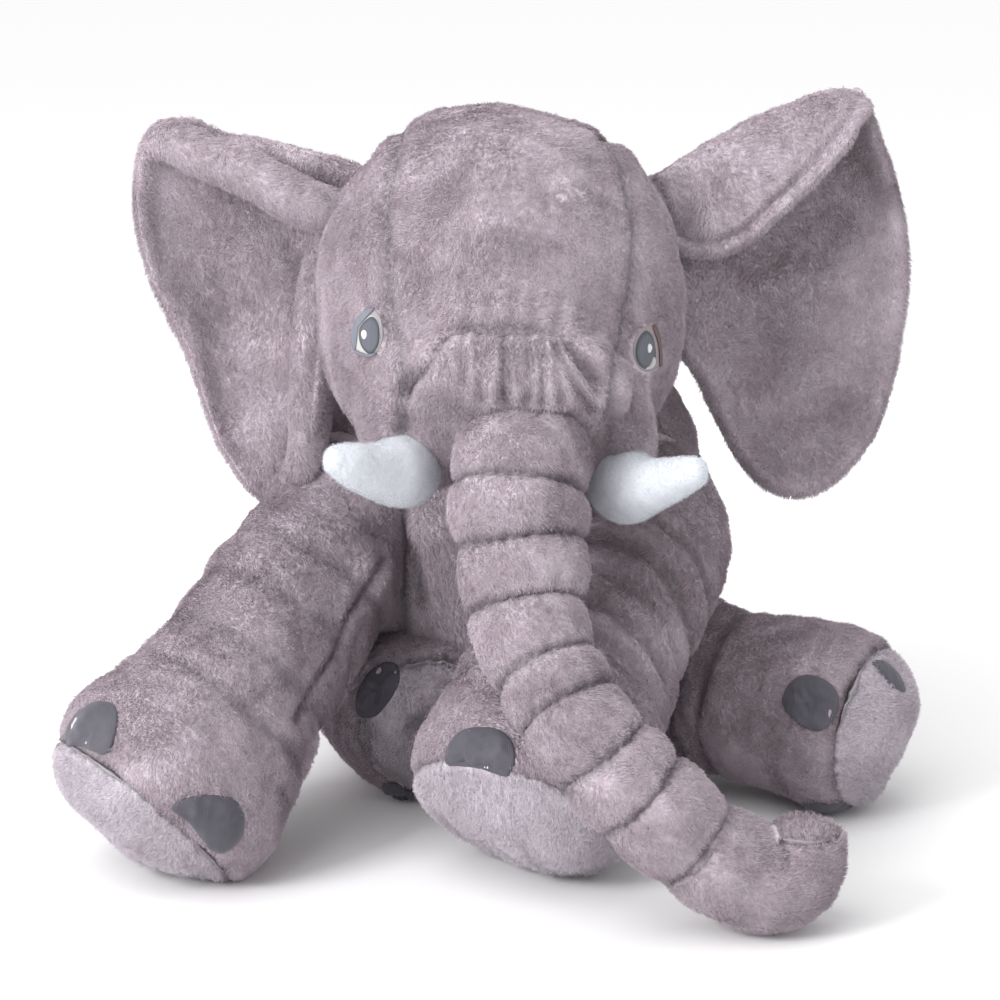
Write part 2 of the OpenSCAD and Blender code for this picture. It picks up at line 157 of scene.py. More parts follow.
class Skin:
    def __init__(s, V, Q, T=None):
        s.V = np.array(V, float)
        s.Q = np.array(Q, int).reshape(-1, 4)
        s.T = np.array(T if T is not None else [], int).reshape(-1, 3)
        # mask of dark seam lines and of painted shade in creases, folds and under the ear flap; it darkens the plush
        # colour
        s.seam = np.zeros(len(s.V))
        s.fur = np.ones(len(s.V))
        s.nap = np.tile([0.0, -0.25, -1.0], (len(s.V), 1))
        s.t = None
        s.a = None

    def normals(s):
        V = s.V
        N = np.zeros_like(V)
        for F in (s.Q, s.T):
            if len(F) == 0:
                continue
            c = np.cross(V[F[:, 2]] - V[F[:, 0]], V[F[:, -1]] - V[F[:, 1]]) if F.shape[1] == 4 else \
                np.cross(V[F[:, 1]] - V[F[:, 0]], V[F[:, 2]] - V[F[:, 0]])
            for j in range(F.shape[1]):
                for k in range(3):
                    N[:, k] += np.bincount(F[:, j], c[:, k], minlength=len(V))
        return unit(N)

    def push(s, h):
        s.V = s.V + s.normals() * np.asarray(h)[:, None]

    def tree(s):
        return BVHTree.FromPolygons(s.V.tolist(), s.Q.tolist() + s.T.tolist())

    def cover(s, U, V_, lift, tree=None):
        """Points seen at U, V_, laid on the skin and raised by lift."""
        tr = tree or s.tree()
        out, ok = [], []
        for u, v, l in zip(U, V_, lift):
            d = Vector(look(u, v))
            hit = tr.ray_cast(Vector(CAM), d)
            if hit[0] is None:
                q = tr.find_nearest(Vector(put(u, v, 0)))
                near = [tr.ray_cast(Vector(CAM), Vector(look(u + a, v + b))) for a, b in ((6, 0), (-6, 0), (0, 6), (0, -6), (14, 0), (-14, 0), (0, 14), (0, -14))]
                near = [h_ for h_ in near if h_[0] is not None]
                hit = near[0] if near else q
            nn = hit[1] if hit[1].dot(d) < 0 else -hit[1]
            out.append(np.array(hit[0] + nn * l))
            ok.append(np.array(nn))
        return np.array(out), np.array(ok)

    def drape(s, uv, step=4):
        """Points of a line, given as seen from the front, laid on the skin."""
        uv = np.array(uv, float)
        if len(uv) > 1:
            L = np.concatenate([[0], np.cumsum(np.linalg.norm(np.diff(uv, axis=0), axis=1))])
            C = curve(uv, 12)
            LC = np.concatenate([[0], np.cumsum(np.linalg.norm(np.diff(C, axis=0), axis=1))])
            q = np.linspace(0, LC[-1], max(int(LC[-1] / step), 2) + 1)
            uv = np.column_stack([np.interp(q, LC, C[:, 0]), np.interp(q, LC, C[:, 1])])
        tr = s.tree()
        out = []
        for u, v in uv:
            hit = tr.ray_cast(Vector(CAM), Vector(look(u, v)))
            if hit[0] is not None:
                out.append(hit[0])
        return np.array(out).reshape(-1, 3)

    def dist(s, L, reach=40):
        d = np.full(len(s.V), 1e3)
        if len(L) == 0:
            return d
        lo, hi = L.min(0) - reach, L.max(0) + reach
        m = np.all((s.V > lo) & (s.V < hi), axis=1)
        idx = np.nonzero(m)[0]
        for k in range(0, len(idx), 20000):
            j = idx[k:k + 20000]
            best = np.full(len(j), 1e3)
            if len(L) == 1:
                best = np.linalg.norm(s.V[j] - L[0], axis=1)
            for a, b in zip(L[:-1], L[1:]):
                ab = b - a
                q = s.V[j] - a
                t = np.clip(q @ ab / max(ab @ ab, 1e-9), 0, 1)
                best = np.minimum(best, np.linalg.norm(q - t[:, None] * ab, axis=1))
            d[j] = best
        return d

    def crease(s, L, depth=3.0, w=4.0, puff=0.8, wp=12.0, mark=1.0, only=None):
        d = s.dist(L)
        h = -depth * bell(d, w) + puff * bell(d - wp, wp * 0.6)
        if only is not None:
            h = h * only
        # mark sets how much painted shade the crease gets in the colour along its line
        s.seam = np.maximum(s.seam, mark * bell(d, w * 0.8) * (1 if only is None else only))
        return h


def loft(P, step, n, ref, shape=None, cap=True, t0=None, t1=None):
    """Skin round a centre line; shape(R, A, S) gives each point's extra radius."""
    R = stations(P, step)
    if t0 is not None or t1 is not None:
        R = R[(R[:, 4] >= (t0 if t0 is not None else -1)) & (R[:, 4] <= (t1 if t1 is not None else 99))]
    c = R[:, :3]
    t = unit(np.gradient(c, axis=0))
    k = np.array([1, 4, 6, 4, 1.0]) / 16
    t = unit(np.stack([np.convolve(np.pad(t[:, j], 2, mode="edge"), k, mode="valid") for j in range(3)], 1))
    sx = unit(np.cross(t, np.array(ref, float)))
    ux = np.cross(sx, t)
    A = np.linspace(0, 2 * math.pi, n, endpoint=False)
    S = np.concatenate([[0], np.cumsum(np.linalg.norm(np.diff(c, axis=0), axis=1))])
    rad = np.repeat(R[:, 3:4], n, 1)
    AA, SS = np.meshgrid(A, S)
    TT = np.repeat(R[:, 4:5], n, 1)
    if shape is not None:
        rad = rad + shape(TT, AA, SS, rad)
    V = c[:, None, :] + rad[..., None] * (np.cos(A)[None, :, None] * sx[:, None, :] + np.sin(A)[None, :, None] * ux[:, None, :])
    m = len(R)
    i, j = np.meshgrid(np.arange(m - 1), np.arange(n), indexing="ij")
    a = i * n + j
    b = i * n + (j + 1) % n
    Q = np.stack([a, b, b + n, a + n], -1).reshape(-1, 4)
    V = V.reshape(-1, 3)
    T = []
    if cap:
        V = np.vstack([V, c[0], c[-1]])
        k0, k1 = len(V) - 2, len(V) - 1
        jj = np.arange(n)
        T = np.concatenate([np.stack([np.full(n, k0), (jj + 1) % n, jj], 1),
                            np.stack([np.full(n, k1), (m - 1) * n + jj, (m - 1) * n + (jj + 1) % n], 1)])
    s = Skin(V, Q, T)
    s.t = np.concatenate([TT.ravel(), [R[0, 4], R[-1, 4]][:2 if cap else 0]])
    s.a = np.concatenate([AA.ravel(), [0, 0][:2 if cap else 0]])
    s.s = np.concatenate([SS.ravel(), [S[0], S[-1]][:2 if cap else 0]])
    nap = np.repeat(t, n, 0)
    s.nap = np.vstack([nap, t[0], t[-1]]) if cap else nap
    # outward winding
    mid = s.V.mean(0)
    if ((s.V - mid) * s.normals()).sum() < 0:
        s.Q = s.Q[:, ::-1]
        s.T = s.T[:, ::-1]
    return s


def rest(s, floor=0.4, soft=3.0):
    """Flattens what reaches the floor."""
    z = s.V[:, 2] - floor
    s.V[:, 2] = floor + np.where(z > soft, z, soft * np.exp(np.minimum(z - soft, 0) / soft))
    s.V[:, 2] = np.maximum(s.V[:, 2], floor)
    s.fur = s.fur * np.clip((s.V[:, 2] - 2.5) / 3, 0.15, 1)


# ------------------------------------------------------------------ materials
def material(name, build):
    m = bpy.data.materials.new(name)
    m.use_nodes = True
    nt = m.node_tree
    b = nt.nodes["Principled BSDF"]
    build(nt, b)
    return m


def math_node(nt, op, a, b, clamp=False):
    n = nt.nodes.new("ShaderNodeMath")
    n.operation = op
    n.use_clamp = clamp
    for i, x in enumerate((a, b)):
        if x is None:
            continue
        if isinstance(x, (int, float)):
            n.inputs[i].default_value = x
        else:
            nt.links.new(x, n.inputs[i])
    return n.outputs[0]


def noise(nt, vec, scale, detail=2.0, rough=0.5, dist=0.0):
    n = nt.nodes.new("ShaderNodeTexNoise")
    n.inputs["Scale"].default_value = scale
    n.inputs["Detail"].default_value = detail
    n.inputs["Roughness"].default_value = rough
    n.inputs["Distortion"].default_value = dist
    nt.links.new(vec, n.inputs["Vector"])
    return n.outputs[0]


def ramp(nt, fac, lo, hi, a, b):
    n = nt.nodes.new("ShaderNodeMapRange")
    n.inputs["From Min"].default_value = lo
    n.inputs["From Max"].default_value = hi
    n.inputs["To Min"].default_value = a
    n.inputs["To Max"].default_value = b
    nt.links.new(fac, n.inputs["Value"])
    return n.outputs[0]


def mix(nt, fac, a, b):
    n = nt.nodes.new("ShaderNodeMix")
    n.data_type = "RGBA"
    for key, x in ((0, fac), (6, a), (7, b)):
        if isinstance(x, (tuple, list)):
            n.inputs[key].default_value = (*x[:3], 1)
        elif isinstance(x, (int, float)):
            n.inputs[key].default_value = x
        else:
            nt.links.new(x, n.inputs[key])
    return n.outputs[2]


def attribute(nt, name):
    n = nt.nodes.new("ShaderNodeAttribute")
    n.attribute_name = name
    return n


def object_vec(nt):
    return nt.nodes.new("ShaderNodeTexCoord").outputs["Object"]


def sock(b, name, value):
    if name in b.inputs:
        b.inputs[name].default_value = value


def plush_build(light, dark, pale, seam_and_shade_dark=0.45, bump=1.0):
    def build(nt, b):
        v = object_vec(nt)
        patches = ramp(nt, noise(nt, v, 17, 3, 0.55, 0.8), 0.34, 0.66, 0, 1)
        clumps = ramp(nt, noise(nt, v, 110, 3, 0.6, 0.4), 0.32, 0.68, 0, 1)
        fine = ramp(nt, noise(nt, v, 520, 2, 0.6, 0.2), 0.3, 0.7, 0, 1)
        col = mix(nt, math_node(nt, "MULTIPLY", patches, 0.85), dark, light)
        col = mix(nt, math_node(nt, "MULTIPLY", clumps, 0.30), col, pale)
        shade = math_node(nt, "ADD", math_node(nt, "MULTIPLY", fine, 0.22), 0.80)
        # the seam mask darkens the colour: dark seam lines, plus painted shade in creases, folds and under the ear flap
        sm = attribute(nt, "seam").outputs["Fac"]
        shade = math_node(nt, "MULTIPLY", shade, math_node(nt, "SUBTRACT", 1.0, math_node(nt, "MULTIPLY", sm, seam_and_shade_dark)))
        hsv = nt.nodes.new("ShaderNodeHueSaturation")
        nt.links.new(col, hsv.inputs["Color"])
        nt.links.new(shade, hsv.inputs["Value"])
        nt.links.new(hsv.outputs[0], b.inputs["Base Color"])
        b.inputs["Roughness"].default_value = 0.85
        sock(b, "Specular IOR Level", 0.15)
        sock(b, "Sheen Weight", 0.35)
        sock(b, "Sheen Roughness", 0.45)
        sock(b, "Sheen Tint", (0.95, 0.9, 0.95, 1))
        bp = nt.nodes.new("ShaderNodeBump")
        bp.inputs["Strength"].default_value = 0.55 * bump
        bp.inputs["Distance"].default_value = 0.0018
        h = math_node(nt, "ADD", math_node(nt, "MULTIPLY", clumps, 0.7), math_node(nt, "MULTIPLY", fine, 0.5))
        nt.links.new(h, bp.inputs["Height"])
        nt.links.new(bp.outputs[0], b.inputs["Normal"])
    return build


PLUSH = material("grey plush", plush_build((0.650, 0.560, 0.620), (0.395, 0.318, 0.360), (0.790, 0.730, 0.790)))
SOLE = material("sole plush", plush_build((0.760, 0.705, 0.765), (0.620, 0.555, 0.610), (0.860, 0.820, 0.870), bump=0.6))
TIP = material("tip plush", plush_build((0.600, 0.515, 0.570), (0.430, 0.350, 0.390), (0.750, 0.680, 0.735)))


def satin_build(nt, b):
    v = object_vec(nt)
    w = nt.nodes.new("ShaderNodeTexWave")
    w.inputs["Scale"].default_value = 260
    w.inputs["Distortion"].default_value = 1.5
    w.inputs["Detail"].default_value = 1
    nt.links.new(v, w.inputs["Vector"])
    n = noise(nt, v, 60, 2)
    f = math_node(nt, "ADD", math_node(nt, "MULTIPLY", w.outputs["Fac"], 0.15), math_node(nt, "MULTIPLY", n, 0.85))
    c = mix(nt, f, (0.050, 0.047, 0.060), (0.120, 0.114, 0.138))
    nt.links.new(c, b.inputs["Base Color"])
    b.inputs["Roughness"].default_value = 0.62
    sock(b, "Specular IOR Level", 0.25)
    sock(b, "Sheen Weight", 0.2)
    bp = nt.nodes.new("ShaderNodeBump")
    bp.inputs["Strength"].default_value = 0.2
    bp.inputs["Distance"].default_value = 0.0004
    nt.links.new(w.outputs["Fac"], bp.inputs["Height"])
    nt.links.new(bp.outputs[0], b.inputs["Normal"])


SATIN = material("nail satin", satin_build)


def velour_build(nt, b):
    v = object_vec(nt)
    n = noise(nt, v, 420, 3, 0.6)
    c = mix(nt, n, (0.60, 0.625, 0.67), (0.74, 0.765, 0.81))
    nt.links.new(c, b.inputs["Base Color"])
    b.inputs["Roughness"].default_value = 0.9
    sock(b, "Specular IOR Level", 0.1)
    sock(b, "Sheen Weight", 0.4)
    bp = nt.nodes.new("ShaderNodeBump")
    bp.inputs["Strength"].default_value = 0.5
    bp.inputs["Distance"].default_value = 0.0008
    nt.links.new(n, bp.inputs["Height"])
    nt.links.new(bp.outputs[0], b.inputs["Normal"])


VELOUR = material("tusk velour", velour_build)


def thread_build(nt, b):
    v = object_vec(nt)
    w = nt.nodes.new("ShaderNodeTexWave")
    w.inputs["Scale"].default_value = 420
    w.inputs["Distortion"].default_value = 2.5
    nt.links.new(v, w.inputs["Vector"])
    at = attribute(nt, "hue")
    h = nt.nodes.new("ShaderNodeHueSaturation")
    nt.links.new(at.outputs["Color"], h.inputs["Color"])
    nt.links.new(ramp(nt, w.outputs["Fac"], 0, 1, 0.72, 1.12), h.inputs["Value"])
    nt.links.new(h.outputs[0], b.inputs["Base Color"])
    b.inputs["Roughness"].default_value = 0.5
    bp = nt.nodes.new("ShaderNodeBump")
    bp.inputs["Strength"].default_value = 0.6
    bp.inputs["Distance"].default_value = 0.0005
    nt.links.new(w.outputs["Fac"], bp.inputs["Height"])
    nt.links.new(bp.outputs[0], b.inputs["Normal"])


THREAD = material("eye thread", thread_build)


def cad_build(nt, b):
    v = object_vec(nt)
    c = mix(nt, noise(nt, v, 90, 3), (0.30, 0.25, 0.29), (0.40, 0.34, 0.39))
    nt.links.new(c, b.inputs["Base Color"])
    b.inputs["Roughness"].default_value = 0.9


HIDDEN = material("inner cloth", cad_build)

# ------------------------------------------------------------------ objects
AREA = {}


def add(name, s, mat, body=None, blend=None, replaces=(), hue=None, smooth=True, inset=0.0):
    if inset:
        keep_z = s.V[:, 2].copy()
        s.push(np.full(len(s.V), -inset) * np.clip(s.fur, 0, 1))
        s.V[:, 2] = np.where(keep_z < 4, np.minimum(s.V[:, 2], keep_z + 0.5), s.V[:, 2])
    V = (s.V + SHIFT) / 1000.0
    me = bpy.data.meshes.new(name)
    me.from_pydata(V.tolist(), [], s.Q.tolist() + s.T.tolist())
    me.validate()
    if smooth:
        me.polygons.foreach_set("use_smooth", [True] * len(me.polygons))
    for key, val in (("seam", s.seam), ("fur", s.fur)):
        a = me.attributes.new(key, "FLOAT", "POINT")
        a.data.foreach_set("value", np.asarray(val, np.float32))
    a = me.attributes.new("nap", "FLOAT_VECTOR", "POINT")
    a.data.foreach_set("vector", np.asarray(unit(s.nap), np.float32).ravel())
    if hue is not None:
        a = me.attributes.new("hue", "FLOAT_COLOR", "POINT")
        a.data.foreach_set("color", np.asarray(np.column_stack([hue, np.ones(len(hue))]), np.float32).ravel())
    me.materials.append(mat)
    me.update()
    o = bpy.data.objects.new(name, me)
    scene.collection.objects.link(o)
    if blend:
        a, b, st, en = blend
        (np.array(st) + SHIFT) / 1000.0
        (np.array(en) + SHIFT) / 1000.0
        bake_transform(o)
    else:
        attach(o, body)
    if replaces:
        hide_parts(*replaces)
    return o


def fur(o, dens=1250000.0, length=0.0026, lean=0.75, clump=0.62, rad=0.00017, mat=None):
    ng = bpy.data.node_groups.new("pile " + o.name, "GeometryNodeTree")
    ng.interface.new_socket("Geometry", in_out="INPUT", socket_type="NodeSocketGeometry")
    ng.interface.new_socket("Geometry", in_out="OUTPUT", socket_type="NodeSocketGeometry")
    N, L = ng.nodes, ng.links

    def named(key, kind):
        n = N.new("GeometryNodeInputNamedAttribute")
        n.data_type = kind
        n.inputs["Name"].default_value = key
        return n.outputs[0]

    def vm(op, a, b=None, scale=None):
        n = N.new("ShaderNodeVectorMath")
        n.operation = op
        for i, x in enumerate((a, b)):
            if x is None:
                continue
            if isinstance(x, tuple):
                n.inputs[i].default_value = x
            else:
                L.new(x, n.inputs[i])
        if scale is not None:
            if isinstance(scale, (int, float)):
                n.inputs["Scale"].default_value = scale
            else:
                L.new(scale, n.inputs["Scale"])
        return n.outputs[0]

    def mm(op, a, b):
        n = N.new("ShaderNodeMath")
        n.operation = op
        for i, x in enumerate((a, b)):
            if isinstance(x, (int, float)):
                n.inputs[i].default_value = x
            else:
                L.new(x, n.inputs[i])
        return n.outputs[0]

    def nz(scale, detail=1.0):
        n = N.new("ShaderNodeTexNoise")
        n.inputs["Scale"].default_value = scale
        n.inputs["Detail"].default_value = detail
        return vm("SUBTRACT", n.outputs["Color"], (0.5, 0.5, 0.5))

    oi = N.new("GeometryNodeObjectInfo")
    oi.inputs["Object"].default_value = o
    oi.transform_space = "RELATIVE"
    dist = N.new("GeometryNodeDistributePointsOnFaces")
    L.new(oi.outputs["Geometry"], dist.inputs["Mesh"])
    L.new(mm("MULTIPLY", mm("GREATER_THAN", named("fur", "FLOAT"), 0.06), dens), dist.inputs["Density"])
    line = N.new("GeometryNodeCurvePrimitiveLine")
    line.inputs["End"].default_value = (0, 0, 1)
    rs = N.new("GeometryNodeResampleCurve")
    rs.inputs["Count"].default_value = 4
    L.new(line.outputs[0], rs.inputs["Curve"])
    inst = N.new("GeometryNodeInstanceOnPoints")
    L.new(dist.outputs["Points"], inst.inputs["Points"])
    L.new(rs.outputs[0], inst.inputs["Instance"])
    d = vm("ADD", dist.outputs["Normal"], vm("SCALE", named("nap", "FLOAT_VECTOR"), scale=lean))
    d = vm("ADD", d, vm("SCALE", nz(26), scale=1.6 * clump))
    d = vm("ADD", d, vm("SCALE", nz(190), scale=2.2 * clump))
    try:
        al = N.new("FunctionNodeAlignRotationToVector")
    except RuntimeError:
        al = N.new("FunctionNodeAlignEulerToVector")
    al.axis = "Z"
    L.new(d, al.inputs["Vector"])
    L.new(al.outputs[0], inst.inputs["Rotation"])
    rv = N.new("FunctionNodeRandomValue")
    rv.data_type = "FLOAT"
    fl = [i for i in rv.inputs if i.type == "VALUE"]
    fl[0].default_value = 0.65
    fl[1].default_value = 1.15
    out = [i for i in rv.outputs if i.type == "VALUE"][0]
    L.new(mm("MULTIPLY", mm("MULTIPLY", out, named("fur", "FLOAT")), length), inst.inputs["Scale"])
    real = N.new("GeometryNodeRealizeInstances")
    L.new(inst.outputs[0], real.inputs[0])
    sp = N.new("GeometryNodeSetPosition")
    L.new(real.outputs[0], sp.inputs["Geometry"])
    spar = N.new("GeometryNodeSplineParameter")
    f = mm("MULTIPLY", spar.outputs["Factor"], spar.outputs["Factor"])
    off = vm("ADD", vm("SCALE", nz(330, 2), scale=length * 1.7), vm("SCALE", named("nap", "FLOAT_VECTOR"), scale=length * 0.25))
    L.new(vm("SCALE", off, scale=f), sp.inputs["Offset"])
    cr = N.new("GeometryNodeSetCurveRadius")
    L.new(sp.outputs[0], cr.inputs[0])
    L.new(mm("MULTIPLY", mm("SUBTRACT", 1.0, mm("MULTIPLY", spar.outputs["Factor"], 0.6)), rad), cr.inputs["Radius"])
    sm = N.new("GeometryNodeSetMaterial")
    sm.inputs["Material"].default_value = mat or o.data.materials[0]
    L.new(cr.outputs[0], sm.inputs[0])
    go = N.new("NodeGroupOutput")
    L.new(sm.outputs[0], go.inputs[0])
    hc = bpy.data.hair_curves.new("pile " + o.name)
    hc.materials.append(mat or o.data.materials[0])
    ho = bpy.data.objects.new("pile " + o.name, hc)
    scene.collection.objects.link(ho)
    md = ho.modifiers.new("pile", "NODES")
    md.node_group = ng
    return ho


# ------------------------------------------------------------------ centre lines, mm
foreleg_l = [[98,34,170,48],[84,6,152,54],[65,-28,130,55],[47,-64,107,58],[32,-98,85,65],
    [20,-121,63,71],[13,-134,46,67],[8,-143,35,52],[5,-147,29,31],[4,-148,27,4]]
foreleg_r = [[-104,34,170,48],[-119,6,151,54],[-138,-30,126,56],[-159,-66,99,58],[-179,-93,76,67],
    [-197,-112,56,74],[-212,-122,40,67],[-220,-128,31,52],[-225,-131,25,30],[-227,-132,23,4]]
hindleg_l = [[86,92,70,46],[110,74,66,51],[138,52,63,52],[165,32,61,54],[192,14,60,57],
    [214,0,59,58],[231,-10,57,52],[242,-17,56,39],[249,-21,55,21],[251,-22,55,4]]
hindleg_r = [[-84,92,70,46],[-77,72,66,51],[-69,53,63,52],[-61,36,60,54],[-54,20,58,56],
    [-48,6,57,55],[-45,-5,56,47],[-44,-12,55,34],[-43,-16,54,18],[-43,-17,54,4]]
trunk = [[15,-112,300,37],[15,-119,276,38],[13,-134,253,40.5],[11,-147,230,40],[13,-159,200,37],
    [17,-172,171,34.5],[30,-192,143,32],[52,-211,113,32],[80,-218,83,32],[111,-218,54,31],
    [132,-214,39,31],[152,-212,31,30],[166,-210,35,28],[172,-208,47,24],[172,-207,57,22],[172,-207,61,14],[172,-207,62,3]]
tusk_l = [[54,-54,256,14],[62,-73,249,18.5],[68,-89,242,20.5]] + [[*put(u, v, y), r] for u, v, y, r in ((624,486,-103,21.2),(635,487,-115,20.0),(649,486,-124,16.2),(666,482,-133,13.2),(681,477,-140,11.3),(693,473,-145,9.6),(701,470,-148,7.2),(706,469,-149,2))]
tusk_r = [[-44,-56,260,14],[-50,-75,253,18.5],[-54,-91,248,20.5]] + [[*put(u, v, y), r] for u, v, y, r in ((405,470,-105,21.4),(394,472,-118,20.2),(379,471,-128,16.6),(363,468,-137,14.0),(349,464,-144,12.0),(338,461,-149,9.9),(330,459,-153,7.2),(325,458,-154,2))]
tail = [[0,222,92,15],[0,230,89,14],[0,250,76,12],[0,262,62,11],[0,272,46,10],[0,280,30,13],[0,284,19,12],[0,286,11,7],[0,287,8,2]]
torso = [[0,120,84,76],[5,120,96,88],[22,120,113,104],[60,119,130,117],[110,117,137,121],
    [160,112,137,114],[200,105,131,103],[238,96,116,87],[268,88,93,67],[288,84,62,44],[298,82,30,20],[301,82,4,3]]

# ------------------------------------------------------------------ torso
C = curve(torso, 16)
q = np.concatenate([[0], np.cumsum(np.linalg.norm(np.diff(C, axis=0), axis=1))])
g = np.linspace(0, q[-1], 130)
C = np.column_stack([np.interp(g, q, C[:, j]) for j in range(4)])
n = 240
A = np.linspace(0, 2 * math.pi, n, endpoint=False)
V = np.stack([C[:, 2:3] * np.cos(A), C[:, 1:2] + C[:, 3:4] * np.sin(A), np.repeat(C[:, 0:1], n, 1)], -1)
m = len(C)
i, j = np.meshgrid(np.arange(m - 1), np.arange(n), indexing="ij")
a, b = i * n + j, i * n + (j + 1) % n
jj = np.arange(n)
body = Skin(np.vstack([V.reshape(-1, 3), [0, 120, 0], [0, 82, 301]]), np.stack([a, b, b + n, a + n], -1).reshape(-1, 4),
            np.concatenate([np.stack([np.full(n, m * n), (jj + 1) % n, jj], 1), np.stack([np.full(n, m * n + 1), (m - 1) * n + jj, (m - 1) * n + (jj + 1) % n], 1)]))
h = 2.2 * waves(body.V, 90, 3) + 0.8 * waves(body.V, 30, 4)
side = np.abs(body.V[:, 0])
# front and back seam lines: the seam mask gives a dark seam line plus painted shade in its crease
for sx in (-62, 62):
    line = np.array([[sx, 118 - (118 if 1 else 0) * 1.0, z] for z in ()]).reshape(-1, 3)
    d = np.abs(body.V[:, 0] - sx)
    front = (body.V[:, 1] < 110) & (body.V[:, 2] < 262)
    h += np.where(front, -3 * bell(d, 4) + 0.9 * bell(d - 12, 8), 0)
    body.seam = np.maximum(body.seam, np.where(front, bell(d, 3), 0))
d = np.abs(body.V[:, 0])
back = body.V[:, 1] > 120
h += np.where(back, -3 * bell(d, 4) + 0.9 * bell(d - 12, 8), 0)
body.seam = np.maximum(body.seam, np.where(back, bell(d, 3), 0))
body.push(h)
h = np.zeros(len(body.V))
# chest seam and shoulder crease, with painted shade in the creases
for ln in ([(388,511),(402,535),(414,560),(420,600)], [(690,392),(701,420),(708,450),(711,480)]):
    h += body.crease(body.drape(ln), 3.0, 3.6, 1.2, 10)
body.push(h)
body.fur *= np.clip((body.V[:, 2] - 3) / 6, 0, 1)
rest(body)
o = add("body_skin", body, PLUSH, body="torso", inset=2.2, replaces=("torso_filling", "torso_left_panel", "torso_right_panel", "belly_panel"))
fur(o)

# ------------------------------------------------------------------ head
HC = np.array([0.0, 0.0, 332.0])
MZ = np.array([[8, -44, 324, 40], [10, -68, 315, 47], [12, -88, 306, 49], [13, -99, 298, 47], [13, -104, 292, 44]], float)
PAD = np.array([[-24, -121, 305, 25], [2, -129, 305, 28], [28, -129, 304, 28], [50, -119, 300, 25]], float)


def smin(a, b, k):
    hh = np.clip(0.5 + 0.5 * (b - a) / k, 0, 1)
    return b * (1 - hh) + a * hh - k * hh * (1 - hh)


def head_field(P):
    x, y, z = P[:, 0], P[:, 1], P[:, 2] - 332
    e = np.where(z < 0, 2.8, 2.0)
    rr = np.sqrt((x / 113) ** 2 + (y / 112) ** 2)
    rho = (rr ** e + (np.abs(z) / np.where(z < 0, 108, 113)) ** e) ** (1 / e)
    f = (rho - 1) * 110
    g = np.full(len(P), 1e3)
    for p, q in zip(MZ[:-1], MZ[1:]):
        ab = q[:3] - p[:3]
        t = np.clip(((P - p[:3]) @ ab) / (ab @ ab), 0, 1)
        g = np.minimum(g, np.linalg.norm(P - p[:3] - t[:, None] * ab, axis=1) - (p[3] + t * (q[3] - p[3])))
    f = smin(f, g, 26)
    g = np.full(len(P), 1e3)
    for p, q in zip(PAD[:-1], PAD[1:]):
        ab = q[:3] - p[:3]
        t = np.clip(((P - p[:3]) @ ab) / (ab @ ab), 0, 1)
        g = np.minimum(g, np.linalg.norm(P - p[:3] - t[:, None] * ab, axis=1) - (p[3] + t * (q[3] - p[3])))
    f = smin(f, g, 9)
    for cx, cy, cz, r in ((57, -74, 257, 36), (-47, -76, 260, 35)):   # cheek pads behind the tusks
        f = smin(f, np.linalg.norm(P - [cx, cy, cz], axis=1) - r, 22)
    return f


NR, NC = (300, 420)
th = np.linspace(0, math.pi, NR + 2)[1:-1]
ph = np.linspace(0, 2 * math.pi, NC, endpoint=False)
TH, PH = np.meshgrid(th, ph, indexing="ij")
DIR = np.stack([np.sin(TH) * np.cos(PH), np.sin(TH) * np.sin(PH), np.cos(TH)], -1).reshape(-1, 3)
DIR = np.vstack([DIR, [0, 0, 1], [0, 0, -1]])
lo, hi = np.full(len(DIR), 40.0), np.full(len(DIR), 200.0)
for _ in range(18):
    mid = (lo + hi) / 2
    inside = head_field(HC + DIR * mid[:, None]) < 0
    lo, hi = np.where(inside, mid, lo), np.where(inside, hi, mid)
V = HC + DIR * ((lo + hi) / 2)[:, None]
i, j = np.meshgrid(np.arange(NR - 1), np.arange(NC), indexing="ij")
a, b = i * NC + j, i * NC + (j + 1) % NC
jj = np.arange(NC)
head = Skin(V, np.stack([a, a + NC, b + NC, b], -1).reshape(-1, 4),
            np.concatenate([np.stack([np.full(NC, NR * NC), jj, (jj + 1) % NC], 1),
                            np.stack([np.full(NC, NR * NC + 1), (NR - 1) * NC + (jj + 1) % NC, (NR - 1) * NC + jj], 1)]))
if ((head.V - HC) * head.normals()).sum() < 0:
    head.Q, head.T = head.Q[:, ::-1], head.T[:, ::-1]
h = 1.7 * waves(head.V, 80, 7) + 0.7 * waves(head.V, 26, 8)
front = head.V[:, 1] < 20
fl = head.drape([(404,122),(394,150),(388,181),(383,210),(386,251),(387,291),(392,326),(400,347),(403,371),(404,398),(403,428)])
fr = head.drape([(603,146),(618,162),(627,181),(635,224),(636,256),(632,294),(619,339),(612,385),(608,417)])
# side seams: dark seam lines plus painted shade in their creases
h += head.crease(fl, 3.6, 4.2, 1.5, 13)
h += head.crease(fr, 3.6, 4.2, 1.5, 13)
